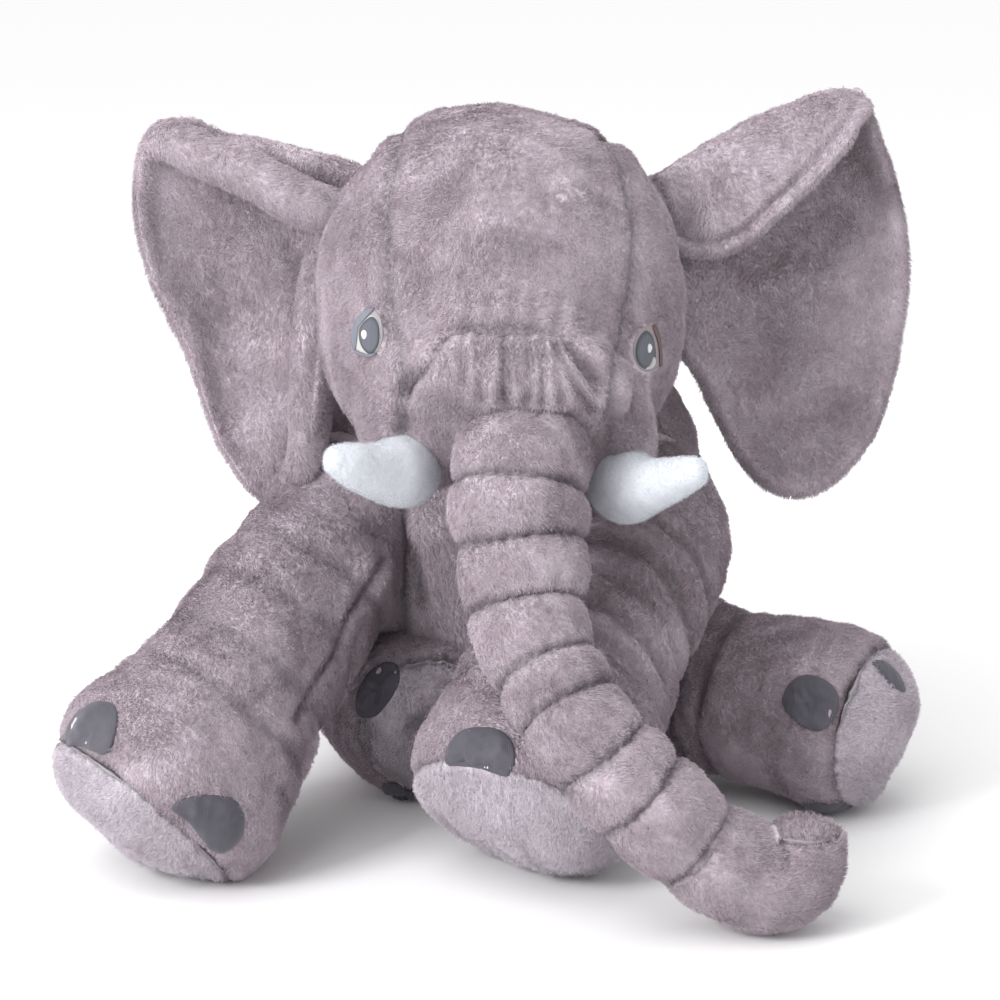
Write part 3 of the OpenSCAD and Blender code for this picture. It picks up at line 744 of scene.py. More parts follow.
# seams carried over the crown to the back
for ln, x1 in ((fl, -66.0), (fr, 78.0)):
    p = ln[0]
    top = np.array([[p[0] + (x1 * 0.9 - p[0]) * t, p[1] + (60 - p[1]) * t, 460] for t in np.linspace(0, 1, 14)])
    tr = head.tree()
    pts = [tr.ray_cast(Vector(HC), Vector(unit(np.array([[q[0], q[1], 332 + 100 * math.cos((k / 13) * 1.1)]]) - HC)[0]))[0] for k, q in enumerate(top)]
    pts = np.array([p] + [w for w in pts[1:] if w is not None])
    h += head.crease(pts, 3.2, 4.2, 1.2, 13)
# brow crease, gathers and forehead folds: each gets painted shade in its crease through mark
brow = head.drape([(408,388),(418,372),(426,360),(433,347),(440,337),(452,331),(467,329),(488,327),(519,326),(545,328),(562,333),(572,346),(583,362),(597,380)])
h += head.crease(brow, 6.5, 4.2, 2.6, 12, mark=1.0)
for ln, dp in (([(450,338),(446,352),(446,372)], 1.6), ([(464,330),(462,352),(463,382)], 1.8), ([(478,330),(479,362),(480,400)], 3.0),
               ([(491,328),(490,350),(488,376)], 2.0), ([(503,328),(505,362),(505,402)], 4.2), ([(517,328),(516,350),(518,380)], 2.2), ([(529,328),(530,360),(528,402)], 2.8),
               ([(542,330),(543,362),(542,404)], 4.4), ([(553,333),(562,358),(574,384),(592,410)], 4.2), ([(556,345),(556,370),(560,402)], 2.6), ([(568,346),(580,366),(594,388)], 2.2)):
    h += head.crease(head.drape(ln), dp * 0.85, 2.6, 1.3, 6.5, mark=0.45)
for ln, dp in (([(470,326),(468,300),(462,278)], 1.3), ([(488,324),(488,296)], 1.2), ([(512,322),(513,292)], 1.2), ([(533,324),(536,298)], 1.0), ([(556,326),(562,300)], 1.0)):
    h += head.crease(head.drape(ln), dp, 3.6, 0.6, 8, mark=0.25)
for ln in ([(404,420),(404,436)], [(610,412),(608,436),(604,456)]):
    h += head.crease(head.drape(ln), 3.0, 5.0, 1.0, 12, mark=0.6)
head.push(h)
x, z = head.V[:, 0], head.V[:, 2] - 332
out = head.V - HC
head.nap = unit(np.column_stack([out[:, 0] * 0.006, out[:, 1] * 0.0 - 0.2, -np.ones(len(x))])) + 0.5 * np.column_stack([waves(head.V, 60, 31), waves(head.V, 60, 32), waves(head.V, 60, 33)])
head.fur *= 1 - 0.75 * np.clip(head.seam, 0, 1)


def patch(s, centre, down, outline, rings=10, lift=0.6, puff=1.5, base=None):
    """A flat cut shape laid on a skin: outline in mm about the centre, first axis sideways, second axis up against down."""
    tr = s.tree()
    c, nrm, _, _ = tr.find_nearest(Vector(centre))
    c, nrm = np.array(c), np.array(nrm)
    if nrm @ s.normals()[np.argmin(np.linalg.norm(s.V - c, axis=1))] < 0:
        nrm = -nrm
    up = -np.array(down, float)
    up = unit(up - nrm * (up @ nrm))
    sx = np.cross(up, nrm)
    O = np.array(outline, float)
    k = len(O)
    V, rho = [], []
    for r in np.linspace(0, 1, rings + 1)[1:]:
        for x0, y0 in O * r:
            p = c + sx * x0 + up * y0
            hit = tr.ray_cast(Vector(p + nrm * 30), Vector(-nrm))
            if hit[0] is None:
                hit = tr.find_nearest(Vector(p))
            V.append(np.array(hit[0]) + nrm * (lift + puff * (1 - r ** 3)))
            rho.append(r)
    hit = tr.find_nearest(Vector(c))
    V.append(np.array(hit[0]) + nrm * (lift + puff))
    rho.append(0)
    # hem turned under
    for x0, y0 in O * 1.02:
        p = c + sx * x0 + up * y0
        hit = tr.ray_cast(Vector(p + nrm * 30), Vector(-nrm))
        if hit[0] is None:
            hit = tr.find_nearest(Vector(p))
        V.append(np.array(hit[0]) - nrm * 2.0)
        rho.append(1.0)
    n0 = rings * k
    Q, T = [], []
    for r in range(rings - 1):
        for j in range(k):
            Q.append([r * k + j, r * k + (j + 1) % k, (r + 1) * k + (j + 1) % k, (r + 1) * k + j])
    for j in range(k):
        Q.append([(rings - 1) * k + j, (rings - 1) * k + (j + 1) % k, n0 + 1 + (j + 1) % k, n0 + 1 + j])
        T.append([n0, (j + 1) % k, j])
    Q, T = np.array(Q), np.array(T)
    p = Skin(V, Q, T)
    if (p.normals()[:n0] @ nrm).sum() < 0:
        p.Q, p.T = p.Q[:, ::-1], p.T[:, ::-1]
    p.rho = np.array(rho)
    p.centre = c
    p.frame = (sx, up, nrm)
    return p


def merge(parts):
    V, Q, T, k = [], [], [], 0
    for p in parts:
        V.append(p.V)
        Q.append(p.Q + k)
        T.append(p.T + k)
        k += len(p.V)
    s = Skin(np.vstack(V), np.vstack(Q), np.vstack(T))
    return s


def oval(w, h, k=40, flat=1.0):
    t = np.linspace(0, 2 * math.pi, k, endpoint=False)
    return np.column_stack([w / 2 * np.cos(t), h / 2 * np.sign(np.sin(t)) * np.abs(np.sin(t)) ** flat])


def bare(s, p, grow=1.0, w=2.0, floor_=0.0):
    """Clears the pile where a patch covers it."""
    sx, up, nrm = p.frame
    q = s.V - p.centre
    X, Y, Z = q @ sx, q @ up, q @ nrm
    O = p.outline
    ang = np.arctan2(O[:, 1], O[:, 0])
    rad = np.hypot(O[:, 0], O[:, 1])
    o = np.argsort(ang)
    A = np.interp(np.arctan2(Y, X), np.concatenate([ang[o] - 2 * math.pi, ang[o], ang[o] + 2 * math.pi]), np.tile(rad[o], 3))
    inside = (np.hypot(X, Y) < A * grow) & (np.abs(Z) < 30)
    s.fur = np.where(inside, floor_, s.fur)


# embroidered eyes
def inside_px(P, uv):
    P = np.array(P, float)
    x, y = uv[:, 0], uv[:, 1]
    r = np.zeros(len(uv), bool)
    for (x0, y0), (x1, y1) in zip(P, np.roll(P, -1, 0)):
        c = ((y0 > y) != (y1 > y)) & (x < (x1 - x0) * (y - y0) / (y1 - y0 + 1e-12) + x0)
        r ^= c
    return r


def dense(P, k):
    P = [list(q) for q in P]
    n_ = len(P)
    out = []
    for i in range(n_):
        a, b, c, d = (np.array(P[(i + q) % n_], float) for q in (-1, 0, 1, 2))
        t = (np.arange(10) / 10)[:, None]
        out.append(0.5 * ((2 * b) + (c - a) * t + (2 * a - 5 * b + 4 * c - d) * t * t + (3 * b - a - 3 * c + d) * t ** 3))
    C = np.concatenate(out + [out[0][:1]])
    L = np.concatenate([[0], np.cumsum(np.linalg.norm(np.diff(C, axis=0), axis=1))])
    q = np.linspace(0, L[-1], k, endpoint=False)
    return np.column_stack([np.interp(q, L, C[:, 0]), np.interp(q, L, C[:, 1])])


def stitched(s, P, k=48, rings=8, lift=1.0, puff=0.6, sink=2.0, tree=None):
    """A patch whose outline is seen at P from the front, laid on a skin."""
    B = dense(P, k)
    c = B.mean(0)
    uv, rho = [], []
    for r in np.linspace(0, 1, rings + 1)[1:]:
        uv.append(c + (B - c) * r)
        rho.append(np.full(k, r))
    uv.append(B)
    rho.append(np.full(k, 1.0))
    uv.append(c[None])
    rho.append(np.zeros(1))
    uv, rho = np.vstack(uv), np.concatenate(rho)
    lf = lift + puff * (1 - rho ** 3)
    lf[rings * k:(rings + 1) * k] = -sink
    V, Nn = s.cover(uv[:, 0], uv[:, 1], lf, tree)
    Q, T = [], []
    for r in range(rings):
        for j in range(k):
            Q.append([r * k + j, r * k + (j + 1) % k, (r + 1) * k + (j + 1) % k, (r + 1) * k + j])
    for j in range(k):
        T.append([len(V) - 1, (j + 1) % k, j])
    p = Skin(V, Q, T)
    if (p.normals() * Nn).sum() < 0:
        p.Q, p.T = p.Q[:, ::-1], p.T[:, ::-1]
    p.rho = rho
    p.uv = uv
    return p


def clear_pile(s, P, c, reach=60, value=0.0):
    m = (np.linalg.norm(s.V - c, axis=1) < reach) & inside_px(P, seen(s.V))
    s.fur = np.where(m, value, s.fur)


LIGHT, IRIS, RIM, LID, FUR_SHADE_BROWN = (0.62, 0.62, 0.60), (0.135, 0.145, 0.175), (0.30, 0.30, 0.33), (0.22, 0.23, 0.28), (0.16, 0.10, 0.10)
eyes = (
    ("right_eye_stitch", "right_eye", [(353,353),(350,338),(353,323),(361,311),(373,304),(381,310),(386,326),(386,343),(380,356),(371,360),(360,358)], (
        ([(354,352),(351,338),(354,324),(361,313),(372,306),(381,312),(385,328),(384,343),(378,355),(370,359),(358,356)], (0.42, 0.39, 0.41), 0.5),
        ([(355,351),(354,337),(360,322),(373,312),(382,325),(382,342),(374,357),(364,356)], LIGHT, 0.9),
        ([(374,314),(380,321),(382,333),(381,345),(376,354),(371,356),(364,350),(360,340),(360,328),(366,319)], IRIS, 1.4),
        ([(366,329),(368.5,331),(369,335),(368,338),(366,339),(364,337),(363,333),(364,330)], (0.95, 0.95, 0.97), 2.0),
        ([(353,350),(350,336),(355,320),(365,308),(374,304),(375,307),(367,311),(359,322),(355,336),(356,350)], LID, 1.3),
        ([(354,351),(360,354),(370,357),(379,355),(372,360),(362,358),(355,355)], LID, 1.4))),
    ("left_eye_stitch", "left_eye", [(655,320),(661,335),(664,352),(664,367),(656,374),(645,377),(635,370),(629,355),(630,340),(637,328),(645,321)], (
        ([(654,322),(659,335),(662,352),(662,366),(655,372),(645,375),(636,368),(631,354),(632,340),(638,329),(645,323)], (0.36, 0.31, 0.33), 0.5),
        ([(645,328),(651,334),(654,345),(655,357),(651,368),(644,372),(637,367),(633,356),(634,343),(639,333)], IRIS, 1.3),
        ([(652,357),(654,361),(652,368),(646,372),(643,371),(648,366)], LIGHT, 1.9),
        ([(647,342),(649,344),(649.5,347),(648,351),(646,352),(645,348),(645.5,344)], (0.95, 0.95, 0.97), 2.1),
        # the brown band along the eye's outer edge is painted shade of the fur beside the eye
        ([(654,321),(659,331),(662,346),(663,364),(660,368),(659,350),(656,336),(652,325)], FUR_SHADE_BROWN, 1.2))),
)
for name, node, hole, layers in eyes:
    tr = head.tree()
    parts, hues = [], []
    mid_uv = np.mean(np.array(hole, float), axis=0)
    for P_, col, lf in layers:
        P_ = [tuple(mid_uv + (np.array(w, float) - mid_uv) * 0.88) for w in P_]
        small = len(P_) < 9 and col != LIGHT
        p_ = stitched(head, P_, 40, 6 if small else 9, lf, 0.35, 1.6, tr)
        hue = np.tile(col, (len(p_.V), 1))
        if col == IRIS:
            hue = hue * (1.0 - 0.35 * (p_.rho > 0.86))[:, None]
        parts.append(p_)
        hues.append(hue)
    clear_pile(head, [tuple(mid_uv + (np.array(w, float) - mid_uv) * 0.9) for w in hole], parts[0].V[-1])
    add(name, merge(parts), THREAD, body="head", replaces=(node,), hue=np.vstack(hues))

o = add("head_skin", head, PLUSH, body="head", replaces=("head_filling", "forehead_panel", "left_cheek_panel", "right_cheek_panel", "chin_panel"), inset=2.2)
fur(o)

# ------------------------------------------------------------------ trunk
line = stations(trunk, 0.5)
S_ALL = np.concatenate([[0], np.cumsum(np.linalg.norm(np.diff(line[:, :3], axis=0), axis=1))])
plain = loft(trunk, 2.0, 96, (0, 1, 0), None, cap=True)
marks = [(526,403),(526,469),(518,532),(525,594),(545,648),(568,691),(613,748),(655,798),(706,858)]
t_mark = []
for w_ in marks:
    hit = plain.drape([w_])
    t_mark.append(plain.t[np.argmin(np.linalg.norm(plain.V - hit[0], axis=1))])
t_mark = np.array(sorted(t_mark))
s_mark = np.interp(t_mark, line[:, 4], S_ALL)
LAST = len(trunk) - 2.9


def trunk_shape(T, A, S, R):
    s = np.interp(T, line[:, 4], S_ALL)
    s = s + 1.6 * np.sin(A * 1 + 0.7) * 0 + 1.2 * np.sin(2 * A + s * 0.03)
    k = np.clip(np.searchsorted(s_mark, s) - 1, 0, len(s_mark) - 2)
    a, b = s_mark[k], s_mark[k + 1]
    x = np.clip((s - a) / (b - a), 0, 1)
    roll = np.sin(math.pi * x) ** 0.48
    amp = np.where(s < s_mark[0] - 1, 0.0, np.where(s > s_mark[-1], 0.0, 1.0))
    near = np.min(np.abs(s[..., None] - s_mark), -1)
    d = R * (0.15 * roll - 0.14) * amp
    d = np.where(s < s_mark[0], -0.115 * R - 0.55 * (s_mark[0] - s), d)
    tail_ = s > s_mark[-1]
    d = np.where(tail_, R * (-0.075 * bell(near, 7)), d)
    d -= 1.6 * bell(near, 1.9) * (amp + 0.2)
    # gathers running across each seam
    gat = np.sin(A * 17 + 1.3 * np.sin(A * 3) + k * 2.1) * 0.55 + np.sin(A * 29 + k) * 0.35
    d += gat * bell(near, 6) * 1.0
    return d


cuts = [t_mark[0] - 0.5, t_mark[3], t_mark[6], LAST + 0.02]
pieces_ = (("upper_trunk_cover", cuts[0], cuts[1] + 0.25, ("head", "trunk_upper", (13, -108, 290), (12, -134, 253)), ("upper_trunk_skin", "upper_trunk_filling")),
           ("middle_trunk_cover", cuts[1] - 0.35, cuts[2] + 0.25, ("trunk_upper", "trunk_middle", (13, -163, 185), (24, -186, 152)), ("middle_trunk_skin", "middle_trunk_filling")),
           ("lower_trunk_cover", cuts[2] - 0.35, cuts[3], ("trunk_middle", "trunk_lower", (100, -218, 66), (124, -217, 44)), ("lower_trunk_skin", "lower_trunk_filling")))
for name, ta, tb, bl, rep in pieces_:
    def cover_shape(T, A, S, R, name=name, ta=ta, tb=tb):
        d = trunk_shape(T, A, S, R)
        if not name.startswith("upper"):
            d = d - 13.0 * (1 - np.clip((T - ta) / 0.25, 0, 1)) ** 0.9
        if not name.startswith("lower"):
            d = d - 12.0 * np.clip((T - (tb - 0.27)) / 0.27, 0, 1) ** 0.9
        return d

    s = loft(trunk, 1.3, 150, (0, 1, 0), cover_shape, cap=True, t0=ta, t1=tb)
    ss = np.interp(s.t, line[:, 4], S_ALL)
    near = np.min(np.abs(ss[:, None] - s_mark), 1)
    # painted shade in the crease between trunk rolls
    s.seam = 0.9 * bell(near, 2.6)
    h = 0.9 * waves(s.V, 40, 11) + 0.5 * waves(s.V, 16, 12)
    s.push(h)
    first = -9 if name.startswith("upper") else ta + 0.14
    final = tb - 0.01 if name.startswith("lower") else tb - 0.20
    s.fur *= (1 - 0.6 * bell(near, 2.2)) * ((s.t > first) & (s.t < final))
    s.nap = s.nap + 0.5 * np.column_stack([waves(s.V, 50, 41), waves(s.V, 50, 42), waves(s.V, 50, 43)])
    rest(s)
    o = add(name, s, PLUSH, blend=bl, replaces=rep, inset=1.6)
    fur(o)


def tip_shape(T, A, S, R):
    return -1.1 * bell((T - LAST - 0.06) * 10, 3.0) + 0.25 * np.sin(A * 15) * bell((T - LAST) * 10, 6)


s = loft(trunk, 1.0, 120, (0, 1, 0), tip_shape, cap=True, t0=LAST - 0.06)
s.push(0.6 * waves(s.V, 22, 13))
# darker ring at the tip's seam: a dark seam line plus painted shade in its dip
s.seam = 0.7 * bell((s.t - LAST - 0.06) * 10, 1.6)
s.fur *= 1 - 0.5 * bell((s.t - LAST - 0.06) * 10, 2.0)
rest(s)
o = add("trunk_tip", s, TIP, body="trunk_lower", replaces=("trunk_tip_panel",), inset=1.0)
fur(o, length=0.0032)

# ------------------------------------------------------------------ tusks
for name, P, rep, sgn in (("left_tusk", tusk_l, ("left_tusk_cover", "left_tusk_filling"), 1), ("right_tusk", tusk_r, ("right_tusk_cover", "right_tusk_filling"), -1)):
    s = loft(P, 1.2, 72, (0, 0, 1), lambda T, A, S, R: -0.9 * bell(np.abs(((A - math.pi * 1.5) + math.pi) % (2 * math.pi) - math.pi) * R, 1.8), cap=True)
    s.push(0.35 * waves(s.V, 30, 17) + 0.12 * waves(s.V, 10, 18))
    s.fur *= (s.t > 0.7) * 1.0
    s.V = s.V
    o = add(name, s, VELOUR, body="head", replaces=rep)
    fur(o, dens=900000, length=0.0011, lean=0.5, clump=0.4, rad=0.00011)

# ------------------------------------------------------------------ legs
SEAM_T = 6.0


INNER = {
    "left_foreleg": [[66,66,202,26],[72,62,198,40],[82,54,190,47]],
    "right_foreleg": [[-70,66,200,26],[-76,62,196,40],[-88,54,188,47]],
    "left_hindleg": [[52,112,74,20],[58,108,73,34],[68,102,72,42]],
    "right_hindleg": [[-88,124,74,20],[-88,118,73,34],[-87,108,72,42]],
}


def leg_shape(folds, seed, depth):
    fo = np.array(folds)

    def shape(T, A, S, R):
        wob = 0.10 * np.sin(A + seed) + 0.07 * np.sin(2 * A + seed * 2.3)
        d = np.zeros_like(R)
        for k, f in enumerate(fo):
            x = (T - 3 - f - wob - 0.03 * math.sin(k)) * 38
            dep = depth * (0.75 + 0.35 * np.sin(A * 1.3 + k * 2 + seed))
            d += -dep * bell(x, 4.2) + dep * 0.45 * bell(x - 11, 8) + dep * 0.45 * bell(x + 11, 8)
        x = (T - SEAM_T - 3) * 19
        d += -2.6 * bell(x, 4.0) + (0.5 * np.sin(A * 23 + seed) + 0.4 * np.sin(A * 37)) * bell(x, 8)
        return d
    return shape, fo


def nail_outline(w, h, k=44):
    t = np.linspace(0, 2 * math.pi, k, endpoint=False)
    c, s_ = np.cos(t), np.sin(t)
    x = w / 2 * np.sign(c) * np.abs(c) ** 0.82
    y = np.where(s_ > 0, h * 0.60 * np.abs(s_) ** 0.95, -h * 0.40 * np.abs(s_) ** 0.55)
    return np.column_stack([x, y])


def at_angle(P, ref, t, deg):
    R = stations(P, 1.0)
    R[:, 4] -= 3
    k = np.argmin(np.abs(R[:, 4] - t))
    d = unit(R[min(k + 2, len(R) - 1), :3] - R[max(k - 2, 0), :3])
    sx = unit(np.cross(d, ref))
    ux = np.cross(sx, d)
    a = math.radians(deg)
    return R[k, :3] + R[k, 3] * (math.cos(a) * sx + math.sin(a) * ux), d


N1 = [(66,746),(67,728),(78,711),(95,702),(111,703),(117,714),(115,734),(106,754),(90,750),(76,746)]
N2 = [(171,808),(190,797),(213,795),(235,800),(244,815),(243,835),(233,848),(218,854),(204,842),(188,822)]
N3 = [(446,764),(448,745),(461,731),(480,727),(500,730),(512,742),(515,758),(511,771),(506,777),(481,769),(459,766)]
N4 = [(782,701),(789,684),(803,675),(822,678),(836,690),(839,704),(832,722),(821,731),(805,728),(790,716)]
N5 = [(872,661),(886,662),(899,674),(906,690),(898,692),(885,680)]
N6 = [(356,712),(357,694),(366,676),(380,664),(395,663),(400,676),(395,692),(385,706),(376,716),(364,718)]
N7 = [(382,786),(398,784),(412,794),(420,809),(406,812),(391,804)]
N8 = [(453,632),(468,627),(475,640),(475,652),(463,648)]
legs = (
    ("left_foreleg", foreleg_l, (0, 1, 0), (1.1, 1.7, 2.3, 2.9, 3.5, 4.1), 1.0, 4.0, "left_foreleg", [N3, 299, 16], (40, 34), ((98, 34, 170), (72, -14, 138))),
    ("right_foreleg", foreleg_r, (0, 1, 0), (1.3, 2.1, 2.9, 3.7), 2.2, 1.9, "right_foreleg", [N1, N2, 132], (40, 36), ((-104, 34, 170), (-128, -12, 139))),
    ("left_hindleg", hindleg_l, (0, 0, 1), (0.9, 1.4, 1.9, 2.6), 3.1, 4.2, "left_hindleg", [N4, N5, 290], (36, 34), ((86, 92, 70), (124, 62, 64))),
    ("right_hindleg", hindleg_r, (0, 0, 1), (1.4, 2.2, 3.0), 4.4, 2.4, "right_hindleg", [N6, N7, N8], (34, 34), ((-84, 92, 70), (-72, 60, 64))),
)
for name, P, ref, folds, seed, depth, bodyname, nails, (nw, nh), (b0, b1) in legs:
    P = INNER[name] + P
    shape, fo = leg_shape(folds, seed, depth)
    parts = {}
    for kind, ta, tb in (("skin", -1, SEAM_T + 3.05), ("sole", SEAM_T + 2.95, 99)):
        s = loft(P, 1.5, 220, ref, shape, cap=True, t0=ta, t1=tb)
        big = 1.5 * waves(s.V, 70, int(seed * 10)) + 0.6 * waves(s.V, 24, int(seed * 20))
        s.push(big)
        if kind == "skin" and name == "right_foreleg":
            s.push(s.crease(s.drape([(385,558),(374,578),(352,611),(332,658),(314,687),(298,720)]), 2.2, 2.6, 1.2, 9, mark=0.8))
            keep_seam_and_shade = s.seam.copy()
        else:
            keep_seam_and_shade = np.zeros(len(s.V))
        s.t = s.t - 3
        # the sole seam gets a dark seam line plus painted shade in its crease; the folds get painted shade in their
        # creases
        s.seam = np.maximum(keep_seam_and_shade, 0.9 * bell((s.t - SEAM_T) * 19, 2.6))
        for f in fo:
            s.seam = np.maximum(s.seam, 0.35 * bell((s.t - f - 0.10 * np.sin(s.a + seed) - 0.07 * np.sin(2 * s.a + seed * 2.3)) * 38, 3.5))
        s.fur *= 1 - 0.7 * bell((s.t - SEAM_T) * 19, 3.0)
        s.fur *= (s.t > -1.2)
        if kind == "skin":
            s.fur *= s.t < SEAM_T + 0.03
        s.nap = s.nap + 0.55 * np.column_stack([waves(s.V, 55, int(51 + seed)), waves(s.V, 55, int(61 + seed)), waves(s.V, 55, int(71 + seed))])
        parts[kind] = s
    # satin nails laid on the skin, flat edge at the sole seam
    skin, sole = parts["skin"], parts["sole"]
    both = merge([skin, sole])
    tr = both.tree()
    nail_parts = []
    for w in nails:
        if isinstance(w, list):
            p = stitched(both, w, 48, 12, 0.2, 1.5, 2.2, tr)
            p.push((0.75 * waves(p.V * [1, 1, 0.35], 13, int(w[0][0])) + 0.35 * waves(p.V, 6, int(w[0][1]))) * np.clip((1 - p.rho) * 4, 0, 1))
            cc = p.V[-1]
            for q_ in (skin, sole):
                clear_pile(q_, w, cc, 50)
        else:
            c, dn = at_angle(P, ref, 5.45, w)
            O = nail_outline(nw, nh)
            p = patch(skin, c, dn, O, 12, 0.2, 1.6)
            p.outline = O
            bare(skin, p, 0.96)
        nail_parts.append(p)
    rest(skin)
    rest(parts["sole"])
    o = add(name + "_cover", skin, PLUSH, blend=("torso", bodyname, b0, b1), replaces=(name + "_skin", name + "_filling"), inset=1.8)
    fur(o)
    parts["sole"].fur *= 0.8
    o = add(name + "_pad", parts["sole"], SOLE, body=bodyname, replaces=(name + "_sole",), inset=1.2)
    fur(o, length=0.0036, clump=0.7)
    nm = merge(nail_parts)
    nm.V[:, 2] = np.maximum(nm.V[:, 2], 0.5)
    add(name + "_nail_patches", nm, SATIN, body=bodyname, replaces=(name + "_nails",))

# ------------------------------------------------------------------ ears
def smooth_outline(O, k):
    P = np.array(O + [O[0]], float)
    n_ = len(O)
    out = []
    for i in range(n_):
        a, b, c, d = (np.array(O[(i + q) % n_], float) for q in (-1, 0, 1, 2))
        t = (np.arange(12) / 12)[:, None]
        out.append(0.5 * ((2 * b) + (c - a) * t + (2 * a - 5 * b + 4 * c - d) * t * t + (3 * b - a - 3 * c + d) * t ** 3))
    C = np.concatenate(out + [out[0][:1]])
    L = np.concatenate([[0], np.cumsum(np.linalg.norm(np.diff(C, axis=0), axis=1))])
    q = np.linspace(0, L[-1], k, endpoint=False)
    return np.column_stack([np.interp(q, L, C[:, 0]), np.interp(q, L, C[:, 1])])


def pillow(O, centre, k, rings, front, back, sgn, piv):
    """A sewn shape between two depths; front(rho, x, z, edge) and back(...) give depth y."""
    B = smooth_outline(O, k)
    c = np.array(centre, float)
    V, rr, fr_ = [], [], []
    rho = 1 - (1 - np.linspace(0, 1, rings + 1)[1:]) ** 1.5
    for r in rho:
        V.append(c + (B - c) * r)
        rr.append(np.full(k, r))
    G = np.vstack(V)
    rr = np.concatenate(rr)
    edge = np.tile(np.linalg.norm(B - c, axis=1), rings) * (1 - rr)
    Yf = front(rr, G[:, 0], G[:, 1], edge)
    Yb = back(rr, G[:, 0], G[:, 1], edge)
    F = np.column_stack([G[:, 0], Yf, G[:, 1]])
    Bk = np.column_stack([G[:, 0], Yb, G[:, 1]])
    one = np.array([1e-6])
    e0 = np.array([np.linalg.norm(B - c, axis=1).mean()])
    cf = np.array([[c[0], front(one, c[:1], c[1:], e0)[0], c[1]]])
    cb = np.array([[c[0], back(one, c[:1], c[1:], e0)[0], c[1]]])
    nF = len(F)
    V = np.vstack([F, Bk, cf, cb])
    Q, T = [], []
    jj = np.arange(k)
    jn = (jj + 1) % k
    for off in (0, nF):
        for r in range(rings - 1):
            Q.append(np.stack([off + r * k + jj, off + r * k + jn, off + (r + 1) * k + jn, off + (r + 1) * k + jj], 1)[:, ::(1 if off == 0 else -1)])
        T.append(np.stack([np.full(k, 2 * nF + (0 if off == 0 else 1)), jj if off else jn, jn if off else jj], 1))
    last = (rings - 1) * k
    Q.append(np.stack([last + jj, last + jn, nF + last + jn, nF + last + jj], 1))
    s = Skin(V, np.vstack(Q), np.vstack(T))
    return s, nF, B


def finish_winding(s, inner):
    bm_dir = (s.V - inner)
    if (bm_dir * s.normals()).sum() < 0:
        s.Q, s.T = s.Q[:, ::-1], s.T[:, ::-1]


def swing(V, c, deg):
    a = math.radians(deg)
    q = V - np.array(c, float)
    R = np.array([[math.cos(a), -math.sin(a), 0], [math.sin(a), math.cos(a), 0], [0, 0, 1]])
    return q @ R.T + np.array(c, float)


def in_ear(uv, piv, deg, d=2.0):
    """Where sight lines through the view meet the plane of an ear before it swings."""
    out = []
    for u, v in uv:
        p = swing(np.array([put(u, v, 0.0), put(u, v, 100.0)], float), piv, -deg)
        t = (piv[1] + d - p[0, 1]) / (p[1, 1] - p[0, 1])
        q = p[0] + t * (p[1] - p[0])
        out.append([q[0], q[2]])
    return out


PL, PR = (104, 34, 325), (-108, 34, 325)
ears = (
    ("left_ear", in_ear([(640,186),(668,162),(702,142),(735,124),(764,110),(800,96),(832,87),(853,88),(868,101),(879,128),(890,160),(899,190),
        (906,225),(909,262),(906,302),(900,342),(893,380),(884,408),(870,438),(852,463),(831,484),(806,497),(781,497),(760,487),
        (742,470),(728,449),(714,422),(702,396),(690,372),(672,350),(656,320),(648,280),(640,230)], PL, 10),
     in_ear([(636,190),(668,162),(702,142),(735,124),(764,110),(800,96),(832,87),(853,88),(866,102),
        (847,119),(821,147),(792,179),(763,205),(735,231),(706,245),(680,249),(655,240)], PL, 10),
     in_ear([(790, 300)], PL, 10)[0], in_ear([(745, 170)], PL, 10)[0], PL, 1),
    ("right_ear", in_ear([(366,168),(349,158),(306,146),(259,135),(228,131),(211,124),(192,116),(175,115),(157,119),(144,133),(136,155),
        (133,190),(136,228),(146,270),(162,308),(179,346),(197,392),(208,420),(222,450),(240,478),(258,497),(280,506),(300,503),
        (314,490),(322,465),(330,430),(337,400),(342,360),(344,320),(341,280),(343,240),(352,200)], PR, -10),
     None, in_ear([(235, 300)], PR, -10)[0], None, PR, -1),
)
FOLD_TOP = {"left_ear": 9}
